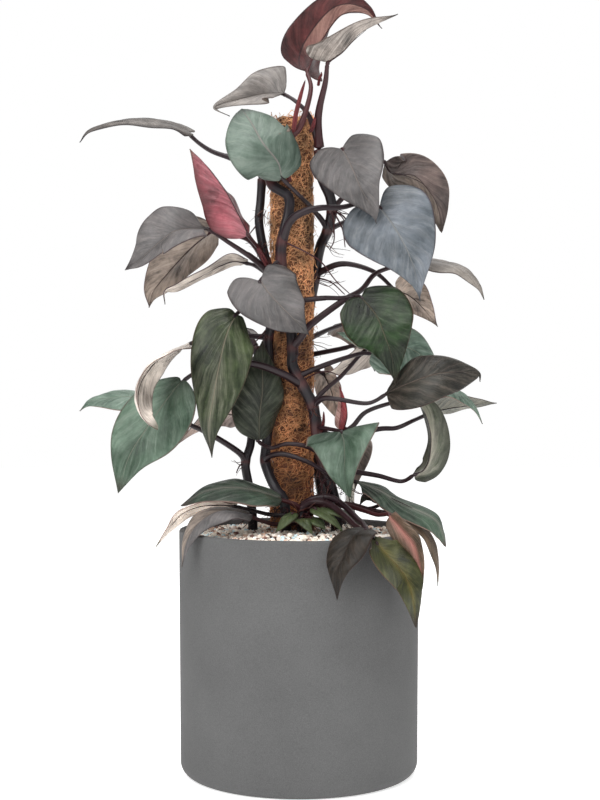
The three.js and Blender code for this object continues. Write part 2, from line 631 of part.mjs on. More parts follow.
        path: [[60, -12, 334], [84, 0, 328], [100, 4, 332]] },
    ],
    roots: [[[4, -16, 324], [14, -26, 318], [24, -30, 310], [30, -34, 305]]],
    shoots: [
      { midrib: [[-7, -34, 322], [-15, -44, 316], [-23, -50, 306], [-30, -52, 297]], face: [-0.3, -0.7, 1] },
      { midrib: [[0, -36, 315], [6, -50, 313], [12, -58, 304], [18, -62, 294]], face: [0.3, -0.7, 0.6] },
      { midrib: [[18, -36, 328], [32, -48, 322], [46, -56, 310], [57, -60, 296]], face: [0.3, -0.6, 0.7] },
      { midrib: [[30, -36, 330], [46, -44, 326], [62, -50, 318], [77, -52, 307]], face: [0.1, -0.5, 0.8] },
      { midrib: [[14, -34, 316], [22, -44, 313], [29, -50, 307], [34, -52, 300]], face: [0.2, -0.6, 0.7] },
    ],
  },
};
const shootWidth = 19;

function stalkGeometry({ leaf, path, radius = stalk.radius, tip = stalk.tip }) {
  const points = path.map(place);
  points.push(stalkEnd(leaves[leaf], tip));
  const rings = Math.max(4, points.length);
  return stemGeometry(points, [radius, tip], stalkSides, rings);
}

function stemSolid({ path, radii, stalks = [], roots = [], shoots = [] }) {
  const main = stemGeometry(path.map(place), radii, stemSides, path.length + 2);
  const parts = [toSolid(main)];
  stalks.forEach((one) => parts.push(toSolid(stalkGeometry(one))));
  roots.forEach((root) => {
    parts.push(toSolid(stemGeometry(root.map(place), [1.5, 0.8], 4, root.length + 1)));
  });
  shoots.forEach(({ midrib, face }) => {
    const small = { midrib, face, width: shootWidth, lobe: 2, wave: 0 };
    const [from, to] = midrib.map(place);
    const neck = [new THREE.Vector3(4 + from.x * 0.2, -17, 318), from.clone(), from.clone().lerp(to, 0.35)];
    parts.push(toSolid(bladeGeometry(small)), toSolid(stemGeometry(neck, [2.4, 1.4], 4, 4)));
  });
  return joined(parts);
}

// The buried length of a stem, a little fatter: the hole that it stands in.
function stemHole({ path, radii }) {
  const points = path.map(place);
  points[0].z -= fit;
  const wider = radii.map((radius) => radius + fit + 0.2);
  return toSolid(stemGeometry(points, wider, stemSides, path.length * 2));
}

function potGeometry() {
  const { height, rimRadius, footRadius, footRound, wall, floor, sides } = pot;
  const profile = [new THREE.Vector2(0, 0), new THREE.Vector2(footRadius, 0)];
  for (let i = 1; i <= 4; i += 1) {
    const turn = (i / 4) * (Math.PI / 2);
    const across = rimRadius - 2 - footRadius;
    profile.push(new THREE.Vector2(footRadius + across * Math.sin(turn), footRound * (1 - Math.cos(turn))));
  }
  const inner = rimRadius - wall;
  profile.push(new THREE.Vector2(rimRadius, height - 2), new THREE.Vector2(rimRadius - 2, height));
  profile.push(new THREE.Vector2(inner + 1, height), new THREE.Vector2(inner, height - 1));
  profile.push(new THREE.Vector2(inner - 1.5, floor + 10), new THREE.Vector2(footRadius - 4, floor));
  profile.push(new THREE.Vector2(0, floor));
  return new THREE.LatheGeometry(profile, sides).rotateX(Math.PI / 2);
}

// A filled disc or ring whose top is broken up into grains.
function grainyDisc({ radii, foot, footRadius, top, relief, seed, sides }) {
  const draw = drawFrom(seed);
  const corners = [new THREE.Vector3(0, 0, foot)];
  const triangles = [];
  const rings = [
    { radius: footRadius, z: foot, relief: 0 },
    { radius: radii[0], z: top - relief, relief: 0 },
  ];
  radii.slice(1, -1).forEach((radius) => rings.push({ radius, z: top, relief }));
  rings.forEach((ring, level) => {
    for (let k = 0; k < sides; k += 1) {
      const turn = (2 * Math.PI * (k + (level > 1 ? 0.5 * (level % 2) : 0))) / sides;
      const z = ring.z + ring.relief * (2 * draw() - 1);
      corners.push(new THREE.Vector3(ring.radius * Math.cos(turn), ring.radius * Math.sin(turn), z));
    }
  });
  corners.push(new THREE.Vector3(0, 0, top));
  const apex = corners.length - 1;
  for (let k = 0; k < sides; k += 1) {
    const next = (k + 1) % sides;
    triangles.push([0, 1 + next, 1 + k]);
    for (let level = 0; level < rings.length - 1; level += 1) {
      const a = 1 + level * sides;
      const b = a + sides;
      triangles.push([a + k, a + next, b + next], [a + k, b + next, b + k]);
    }
    const rim = 1 + (rings.length - 1) * sides;
    triangles.push([rim + k, rim + next, apex]);
  }
  return meshOf(corners, triangles);
}

// Radii from the edge of a disc to its middle.
function ringRadii(radius, count) {
  return Array.from({ length: count + 1 }, (_, i) => radius * (1 - i / count));
}

function buriedSolids() {
  const holes = Object.values(stems).map(stemHole);
  const poleHole = new THREE.CylinderGeometry(pole.radius + 1, pole.radius + 1, 400, 32);
  poleHole.rotateX(Math.PI / 2).translate(pole.centre[0], pole.centre[1], core.foot - 1 + 200);
  const [width, depth, length] = label.size;
  const slot = new THREE.BoxGeometry(width + 2 * fit, depth + 2 * fit, length + 2 * fit);
  slot.translate(label.centre[0], label.centre[1], label.top - length / 2);
  return [...holes, toSolid(poleHole), toSolid(slot)];
}

function rootBallSolid() {
  const { centre, topRadius, footRadius, foot, top, relief, seed } = rootBall;
  const radii = ringRadii(topRadius, 5);
  const ball = grainyDisc({ radii, foot, footRadius, top, relief, seed, sides: 24 });
  ball.translate(centre[0], centre[1], 0);
  return buriedSolids().reduce((rest, hole) => rest.subtract(hole), toSolid(ball));
}

// The room that the root ball takes in the granulate, open at the top.
function rootBallPocket() {
  const { centre, topRadius, footRadius, foot, top } = rootBall;
  const height = top + 20 - foot;
  const room = new THREE.CylinderGeometry(topRadius + 4.5, footRadius + 1, height, 28).rotateX(Math.PI / 2);
  return toSolid(room.translate(centre[0], centre[1], foot - fit + height / 2));
}

function granulateSolid() {
  const { top, relief, radius, rings, seed } = granulate;
  const filling = toSolid(
    grainyDisc({
      radii: ringRadii(radius, rings), foot: pot.floor + 0.4, footRadius: pot.footRadius - 6,
      top, relief, seed, sides: pot.sides,
    }),
  );
  return filling.subtract(rootBallPocket());
}

// Coir sleeve: a rough tube about the core, its top frayed.
function coirGeometry() {
  const { centre, radius, foot, top, relief, fray, seed } = pole;
  const draw = drawFrom(seed);
  const sides = 14;
  const rings = 24;
  const corners = [new THREE.Vector3(centre[0], centre[1], foot)];
  const triangles = [];
  for (let i = 0; i <= rings; i += 1) {
    const rough = i < 6 ? 0 : relief;
    const ragged = i === rings ? fray : 0;
    for (let k = 0; k < sides; k += 1) {
      const turn = (2 * Math.PI * (k + 0.5 * (i % 2))) / sides;
      const reach = radius + rough * (2 * draw() - 1) - (i === rings ? 5 : 0);
      const z = foot + ((top - foot) * i) / rings + ragged * draw();
      const across = centre[0] + reach * Math.cos(turn);
      corners.push(new THREE.Vector3(across, centre[1] + reach * Math.sin(turn), z));
    }
  }
  corners.push(new THREE.Vector3(centre[0], centre[1], top - 3));
  const apex = corners.length - 1;
  for (let k = 0; k < sides; k += 1) {
    const next = (k + 1) % sides;
    triangles.push([0, 1 + next, 1 + k]);
    for (let i = 0; i < rings; i += 1) {
      const a = 1 + i * sides;
      const b = a + sides;
      if (i % 2 === 0) {
        triangles.push([a + k, a + next, b + k], [a + next, b + next, b + k]);
      } else {
        triangles.push([a + k, b + next, b + k], [a + k, a + next, b + next]);
      }
    }
    const rim = 1 + rings * sides;
    triangles.push([rim + k, rim + next, apex]);
  }
  return meshOf(corners, triangles);
}

function coreGeometry(radius, foot, top) {
  const height = top - foot;
  return new THREE.CylinderGeometry(radius, radius, height, 20)
    .rotateX(Math.PI / 2)
    .translate(pole.centre[0], pole.centre[1], foot + height / 2);
}

function coirSolid() {
  const bore = toSolid(coreGeometry(pole.bore, pole.foot - 5, core.top + 1));
  return toSolid(coirGeometry()).subtract(bore);
}

function labelGeometry() {
  const [width, depth, length] = label.size;
  return new THREE.BoxGeometry(width, depth, length)
    .translate(label.centre[0], label.centre[1], label.top - length / 2);
}

// Colours of the upper faces, by node; a blade not named here is the plain dark green.
const leafColours = {
  leaf_crown_maroon: 0x4a2529,
  leaf_left_young_red: 0x9a4a52,
  leaf_right_young_red: 0x7c3034,
  leaf_front_round: 0x6f8a7a,
  leaf_centre_heart: 0x6b696b,
  leaf_upper_right_grey: 0x6d6a68,
  leaf_upper_left_grey: 0x77756f,
  leaf_right_blue_large: 0x67717a,
  leaf_left_drooping: 0x6a6b6c,
};

const plant = new THREE.Group();

function addMesh(name, geometry, colour, roughness = 0.6) {
  const material = new THREE.MeshStandardMaterial({ color: colour, roughness, metalness: 0 });
  const mesh = new THREE.Mesh(geometry, material);
  mesh.name = name;
  plant.add(mesh);
}

addMesh("pot", toGeometry(toSolid(potGeometry())), 0x747474, 0.85);
addMesh("mineral_granulate", toGeometry(granulateSolid()), 0xcfc4b8, 0.9);
addMesh("root_ball", toGeometry(rootBallSolid()), 0x35241c, 0.95);
addMesh("pole_core", coreGeometry(core.radius, core.foot, core.top), 0xb59a78, 0.8);
addMesh("coir_pole", toGeometry(coirSolid()), 0x8c5a36, 0.95);
addMesh("plant_label", labelGeometry(), 0xe8e8e4, 0.5);
Object.entries(stems).forEach(([name, stem]) => {
  addMesh(name, toGeometry(stemSolid(stem)), stem.colour, 0.45);
});
Object.entries(leaves).forEach(([name, leaf]) => {
  addMesh(name, bladeGeometry(leaf), leafColours[name] ?? 0x3f5a45, 0.4);
});

export default plant;
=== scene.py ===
# A red-leaved climbing philodendron on its coir pole, in a cylindrical planter topped with mineral granulate.
# Tables are in millimetres, meshes in metres; the camera looks along +Y.
import math
import random
from functools import partial
import bmesh
import bpy
from mathutils import Matrix, Vector, noise


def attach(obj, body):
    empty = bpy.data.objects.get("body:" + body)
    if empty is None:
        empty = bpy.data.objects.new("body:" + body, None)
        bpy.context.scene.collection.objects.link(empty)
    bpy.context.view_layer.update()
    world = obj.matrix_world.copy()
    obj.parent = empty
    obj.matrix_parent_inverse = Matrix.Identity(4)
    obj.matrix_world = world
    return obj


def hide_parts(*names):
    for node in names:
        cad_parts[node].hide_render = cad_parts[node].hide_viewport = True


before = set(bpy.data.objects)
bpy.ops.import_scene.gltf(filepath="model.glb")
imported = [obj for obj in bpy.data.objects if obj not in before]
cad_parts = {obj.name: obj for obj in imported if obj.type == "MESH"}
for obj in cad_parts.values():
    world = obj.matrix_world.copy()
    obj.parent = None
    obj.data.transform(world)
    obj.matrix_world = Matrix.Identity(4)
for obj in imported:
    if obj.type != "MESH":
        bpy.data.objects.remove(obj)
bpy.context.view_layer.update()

# The eye that took the picture: grown things are laid out as [across, depth, height] seen from it.
eye = {"distance": 2000, "height": 508, "lens": 71.73, "shift": (0.00125, -0.04375)}


def place(spot):
    across, depth, height = spot
    share = 1 + depth / eye["distance"]
    return Vector((across * share, depth, eye["height"] + (height - eye["height"]) * share)) / 1000


# Curves and the frames that travel along them.
def lineThrough(points):  # a smooth line through the points, by share of its spans
    last = len(points) - 1

    def at(share):
        span = share * last
        i = min(int(span), last - 1)
        w = span - i
        here, there = points[i], points[i + 1]
        before = points[i - 1] if i > 0 else 2 * here - there
        beyond = points[i + 2] if i + 2 <= last else 2 * there - here
        leave, arrive = (there - before) / 2, (beyond - here) / 2
        bend = 3 * (there - here) - 2 * leave - arrive
        return here + leave * w + bend * w ** 2 + (2 * (here - there) + leave + arrive) * w ** 3

    return at


def heading(at, share):
    return (at(min(1, share + 1e-4)) - at(max(0, share - 1e-4))).normalized()


def framesAlong(points, count, side, reference):  # frames that don't spin about the line
    at = lineThrough(points)
    frames = [{"share": i / count} for i in range(count + 1)]
    for one in frames:
        one["at"] = at(one["share"])
        one["along"] = heading(at, one["share"])
    first = min(range(count + 1), key=lambda i: abs(frames[i]["share"] - reference))

    def square(one, previous):
        one["side"] = (previous - one["along"] * previous.dot(one["along"])).normalized()
        one["up"] = one["side"].cross(one["along"])

    square(frames[first], side)
    for i in range(first + 1, count + 1):
        square(frames[i], frames[i - 1]["side"])
    for i in range(first - 1, -1, -1):
        square(frames[i], frames[i + 1]["side"])
    return frames


# Helpers for meshes.
def newMesh():
    bm = bmesh.new()
    bm.loops.layers.uv.new("UVMap")
    return bm


def gridMesh(columns, rows):  # a flat sheet, -1..1 both ways, with UVs
    bm = newMesh()
    bmesh.ops.create_grid(bm, x_segments=columns, y_segments=rows, size=1, calc_uvs=True)
    return bm


def meshOf(bm, name):
    mesh = bpy.data.meshes.new(name)
    bm.to_mesh(mesh)
    bm.free()
    return mesh


def addObject(name, data):
    holder = bpy.data.objects.new(name, data)
    bpy.context.scene.collection.objects.link(holder)
    return holder


def addPiece(name, mesh, materials, slotName):
    for material in materials:
        mesh.materials.append(material)
    piece = addObject(name, mesh)
    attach(piece, "root")
    return piece


def finishPiece(bm, name, materials, slotName, smooth=True):
    for face in bm.faces:
        face.smooth = smooth
    return addPiece(name, meshOf(bm, name), materials, slotName)


def addWall(piece, thickness, materialOffset=0):  # thickness in millimetres
    wall = piece.modifiers.new("wall", "SOLIDIFY")
    wall.thickness = thickness / 1000
    wall.offset = 0
    wall.material_offset = materialOffset


def weld(bm, verts=None):
    bmesh.ops.remove_doubles(bm, verts=verts or bm.verts, dist=1e-6)


def faceOut(bm):
    bmesh.ops.recalc_face_normals(bm, faces=bm.faces)


def closeHoles(bm):
    bmesh.ops.holes_fill(bm, edges=[edge for edge in bm.edges if edge.is_boundary])


def spin(bm, points, steps):  # a profile of (across, height) in metres, turned about the upright axis
    line = [bm.verts.new((across, 0, height)) for across, height in points]
    edges = [bm.edges.new(pair) for pair in zip(line, line[1:])]
    bmesh.ops.spin(bm, geom=line + edges, cent=(0, 0, 0), axis=(0, 0, 1), angle=2 * math.pi, steps=steps,
                   use_merge=True)
    weld(bm)


def smoothStep(low, high, value):
    share = min(1, max(0, (value - low) / (high - low)))
    return share * share * (3 - 2 * share)


# Helpers for materials.
def colourOf(red, green, blue, share=1.0):  # a screen colour, 0 to 255, as light, or a share of it
    light = (((c / 255 + 0.055) / 1.055) ** 2.4 if c > 10 else c / 255 / 12.92 for c in (red, green, blue))
    return tuple(c * share for c in light) + (1,)


def put(tree, socket, value):
    if isinstance(value, bpy.types.NodeSocket):
        tree.links.new(value, socket)
    else:
        socket.default_value = value


def putAll(tree, node, values):  # Some_Title for the socket "Some Title", n2 for the third socket
    for key, value in values.items():
        put(tree, node.inputs[int(key[1:]) if key[1:].isdigit() else key.replace("_", " ")], value)


def addNode(tree, kind, settings=None, **values):
    node = tree.nodes.new(kind)
    for key, value in (settings or {}).items():
        setattr(node, key, value)
    putAll(tree, node, values)
    return node


def maths(tree, operation, first, second=0.0, third=0.0, clamp=False):
    settings = {"operation": operation, "use_clamp": clamp}
    return addNode(tree, "ShaderNodeMath", settings, n0=first, n1=second, n2=third).outputs[0]


def mathsOf(tree):  # a * b, a * b + c and a - b
    return [partial(maths, tree, operation) for operation in ("MULTIPLY", "MULTIPLY_ADD", "SUBTRACT")]


def spread(tree, value, low, high, **more):  # 0 to 1 between low and high
    return addNode(tree, "ShaderNodeMapRange", Value=value, From_Min=low, From_Max=high, **more).outputs[0]


def partsOf(tree, vector):
    return addNode(tree, "ShaderNodeSeparateXYZ", n0=vector).outputs


def attributeOf(tree, name):
    return addNode(tree, "ShaderNodeAttribute", {"attribute_name": name}).outputs["Fac"]


def mixColour(tree, share, first, second, blendType="MIX"):
    settings = {"data_type": "RGBA", "blend_type": blendType}
    return addNode(tree, "ShaderNodeMix", settings, n0=share, n6=first, n7=second).outputs[2]


def newMaterial(name, **shader):
    material = bpy.data.materials.new(name)
    material.use_nodes = True
    tree = material.node_tree
    surface = tree.nodes["Principled BSDF"]
    putAll(tree, surface, shader)
    return material, tree, surface


def paint(tree, surface, colour, roughness, height, strength, distance):  # and a relief, distance in millimetres
    relief = addNode(tree, "ShaderNodeBump", Strength=strength, Distance=distance / 1000, Height=height)
    putAll(tree, surface, {"Base_Color": colour, "Roughness": roughness, "Normal": relief.outputs[0]})


def noiseOf(tree, coords, scale, detail=3.0, roughness=0.55, distortion=0.0):
    return addNode(tree, "ShaderNodeTexNoise", {"noise_dimensions": "3D"}, Vector=coords, Scale=scale,
                   Detail=detail, Roughness=roughness, Distortion=distortion).outputs["Fac"]


def objectCoords(tree):
    return tree.nodes.new("ShaderNodeTexCoord").outputs["Object"]


def surfaceUv(tree):
    return tree.nodes.new("ShaderNodeTexCoord").outputs["UV"]


def newGroup(name, inputs, outputs):
    group = bpy.data.node_groups.new(name, "ShaderNodeTree")
    for title, kind, value in inputs:
        socket = group.interface.new_socket(title, in_out="INPUT", socket_type=kind)
        if value is not None:
            socket.default_value = value
    for title, kind in outputs:
        group.interface.new_socket(title, in_out="OUTPUT", socket_type=kind)
    return group, group.nodes.new("NodeGroupInput").outputs, group.nodes.new("NodeGroupOutput").inputs


def useGroup(tree, group, **values):
    return addNode(tree, "ShaderNodeGroup", {"node_tree": group}, **values).outputs


# The leaf pattern: midrib, side veins, bands, fine lines, margin and clouds.
def buildLeafPattern():
    group, given, out = newGroup(
        "leafPattern",
        [("UV", "NodeSocketVector", None), ("Coords", "NodeSocketVector", None),
         ("Veins", "NodeSocketFloat", 11.0), ("Sweep", "NodeSocketFloat", 0.3),
         ("Midrib", "NodeSocketFloat", 0.05), ("Margin", "NodeSocketFloat", 0.035)],
        [("Midrib", "NodeSocketFloat"), ("Veins", "NodeSocketFloat"), ("Bands", "NodeSocketFloat"),
         ("Lines", "NodeSocketFloat"), ("Margin", "NodeSocketFloat"), ("Clouds", "NodeSocketFloat"),
         ("Height", "NodeSocketFloat"), ("Along", "NodeSocketFloat"), ("Reach", "NodeSocketFloat"),
         ("Half", "NodeSocketFloat"), ("Streaks", "NodeSocketFloat")],
    )
    times, timesPlus, minus = mathsOf(group)
    parts = partsOf(group, given["UV"])
    reach = maths(group, "ABSOLUTE", timesPlus(parts[0], 2.0, -1.0))
    half = spread(group, parts[0], 0.49, 0.51)
    share = parts[1]
    wander = noiseOf(group, given["Coords"], 32.0, 2.0)
    swept = times(maths(group, "POWER", reach, 0.8), given["Sweep"])
    phase = minus(share, swept)
    phase = timesPlus(phase, given["Veins"], times(wander, 0.7))
    phase = timesPlus(half, 0.37, phase)
    saw = maths(group, "ABSOLUTE", timesPlus(maths(group, "FRACT", phase), 2.0, -1.0))
    veins = maths(group, "POWER", saw, 12.0)
    spot = partsOf(group, given["Coords"])
    drift = timesPlus(spot[0], 9.0, times(spot[2], 7.0))
    drift = timesPlus(half, 7.3, drift)
    swirl = addNode(group, "ShaderNodeCombineXYZ", n0=times(phase, 2.3),
                    n1=times(reach, 1.4), n2=drift).outputs[0]
    streaks = noiseOf(group, swirl, 1.0, 6.0, 0.66, 0.2)
    grain = noiseOf(group, given["Coords"], 240.0, 4.0, 0.7)
    streaks = timesPlus(streaks, 0.88, times(grain, 0.12))
    streaks = spread(group, streaks, 0.36, 0.64)
    uneven = noiseOf(group, given["Coords"], 60.0, 2.0)
    bands = times(maths(group, "POWER", saw, 1.6), timesPlus(uneven, 2.4, -0.55))
    bands = times(bands, 1.0, clamp=True)
    fine = timesPlus(phase, 40.0, times(wander, 14.0))
    lines = timesPlus(maths(group, "SINE", fine), 0.5, 0.5)
    streak = noiseOf(group, given["Coords"], 140.0, 3.0, 0.7)
    streak = spread(group, streak, 0.35, 0.65)
    lines = times(lines, streak)
    ribShare = maths(group, "DIVIDE", reach, given["Midrib"])
    rib = minus(1.0, maths(group, "MINIMUM", ribShare, 1.0))
    rib = maths(group, "SMOOTH_MIN", times(rib, 1.8), 1.0, 0.3)
    edge = maths(group, "DIVIDE", minus(1.0, reach), given["Margin"])
    margin = minus(1.0, edge, clamp=True)
    clouds = noiseOf(group, given["Coords"], 22.0, 4.0, 0.62, 0.3)
    clouds = spread(group, clouds, 0.34, 0.66)
    height = timesPlus(veins, -0.45, times(rib, -1.0))
    height = timesPlus(lines, 0.22, height)
    height = timesPlus(streaks, 0.9, height)
    for title, value in (("Midrib", rib), ("Veins", veins), ("Bands", bands), ("Lines", lines),
                         ("Margin", margin), ("Clouds", clouds), ("Height", height), ("Along", share),
                         ("Reach", reach), ("Half", half), ("Streaks", streaks)):
        group.links.new(value, out[title])
    return group


# One finish of a blade from the pattern: ground, clouds, pale bands that are partly a painted sheen, lines, side
# veins, centre streak, midrib, and a painted shade towards the stalk.
def buildLeafColours():
    tones = ("Base", "Cloud", "Pale", "Vein", "Centre", "Rib", "Rim", "Tip")
    shares = (("Banding", 0.5), ("Streak", 0.0), ("Tipping", 0.0), ("Contrast", 0.3), ("Inner", 0.08),
              ("Outer", 0.42), ("Shadow", 0.7), ("Seam", 0.0), ("Start", 0.0))
    group, given, out = newGroup(
        "leafColours",
        [(name, "NodeSocketColor", None) for name in tones]
        + [(name, "NodeSocketFloat", value) for name, value in shares]
        + [(name, "NodeSocketFloat", 0.0) for name in ("Midrib", "Veins", "Bands", "Lines", "Margin", "Clouds",
                                                       "Along", "Reach", "Streaks")],
        [("Colour", "NodeSocketColor")],
    )
    times, timesPlus, minus = mathsOf(group)
    colour = mixColour(group, given["Clouds"], given["Base"], given["Cloud"])
    swing = timesPlus(given["Streaks"], 2.0, -1.0)
    level = timesPlus(swing, given["Contrast"], 1.0)
    broad = timesPlus(given["Clouds"], 2.0, -1.0)
    level = timesPlus(times(broad, 1.3), given["Contrast"], level)
    shadow = maths(group, "SMOOTH_MIN", times(given["Along"], 4.0), 1.0, 0.4)
    shadow = timesPlus(shadow, minus(1.0, given["Shadow"]), given["Shadow"])
    colour = mixColour(group, 1.0, colour, times(level, shadow), "MULTIPLY")
    # pale bands and streaks: partly the leaf's own stripes, partly a painted sheen
    paleAndSheen = maths(group, "POWER", given["Streaks"], 3.0)
    paleAndSheen = times(timesPlus(given["Bands"], 0.5, paleAndSheen), given["Banding"])
    colour = mixColour(group, times(paleAndSheen, 1.0, clamp=True), colour, given["Pale"])
    colour = mixColour(group, times(given["Lines"], 0.25), colour, given["Vein"])
    colour = mixColour(group, times(given["Veins"], 0.3), colour, given["Vein"])
    middle = spread(group, given["Reach"], given["Outer"], given["Inner"])
    broken = timesPlus(given["Streaks"], 0.7, 0.3)
    begun = minus(given["Along"], given["Start"])
    broken = times(broken, timesPlus(begun, 6.0, 1.0, clamp=True))
    middle = times(times(middle, broken), given["Streak"])
    colour = mixColour(group, middle, colour, given["Centre"])
    seam = maths(group, "ABSOLUTE", minus(given["Reach"], given["Outer"]))
    seam = timesPlus(seam, -28.0, 1.0, clamp=True)
    colour = mixColour(group, times(seam, given["Seam"]), colour, given["Rib"])
    colour = mixColour(group, times(given["Midrib"], 0.65), colour, given["Rib"])
    colour = mixColour(group, times(given["Margin"], 0.85), colour, given["Rim"])
    end = spread(group, given["Along"], 0.87, 0.96)
    colour = mixColour(group, times(end, given["Tipping"]), colour, given["Tip"])
    group.links.new(colour, out["Colour"])
    return group


leafPattern = buildLeafPattern()
leafColours = buildLeafColours()


def finish(base, cloud, pale, vein, rib, rim, rough, veins, banding, **more):
    return {"base": base, "cloud": cloud, "pale": pale, "vein": vein, "rib": rib, "rim": rim, "rough": rough,
            "veins": veins, "banding": banding, **more}
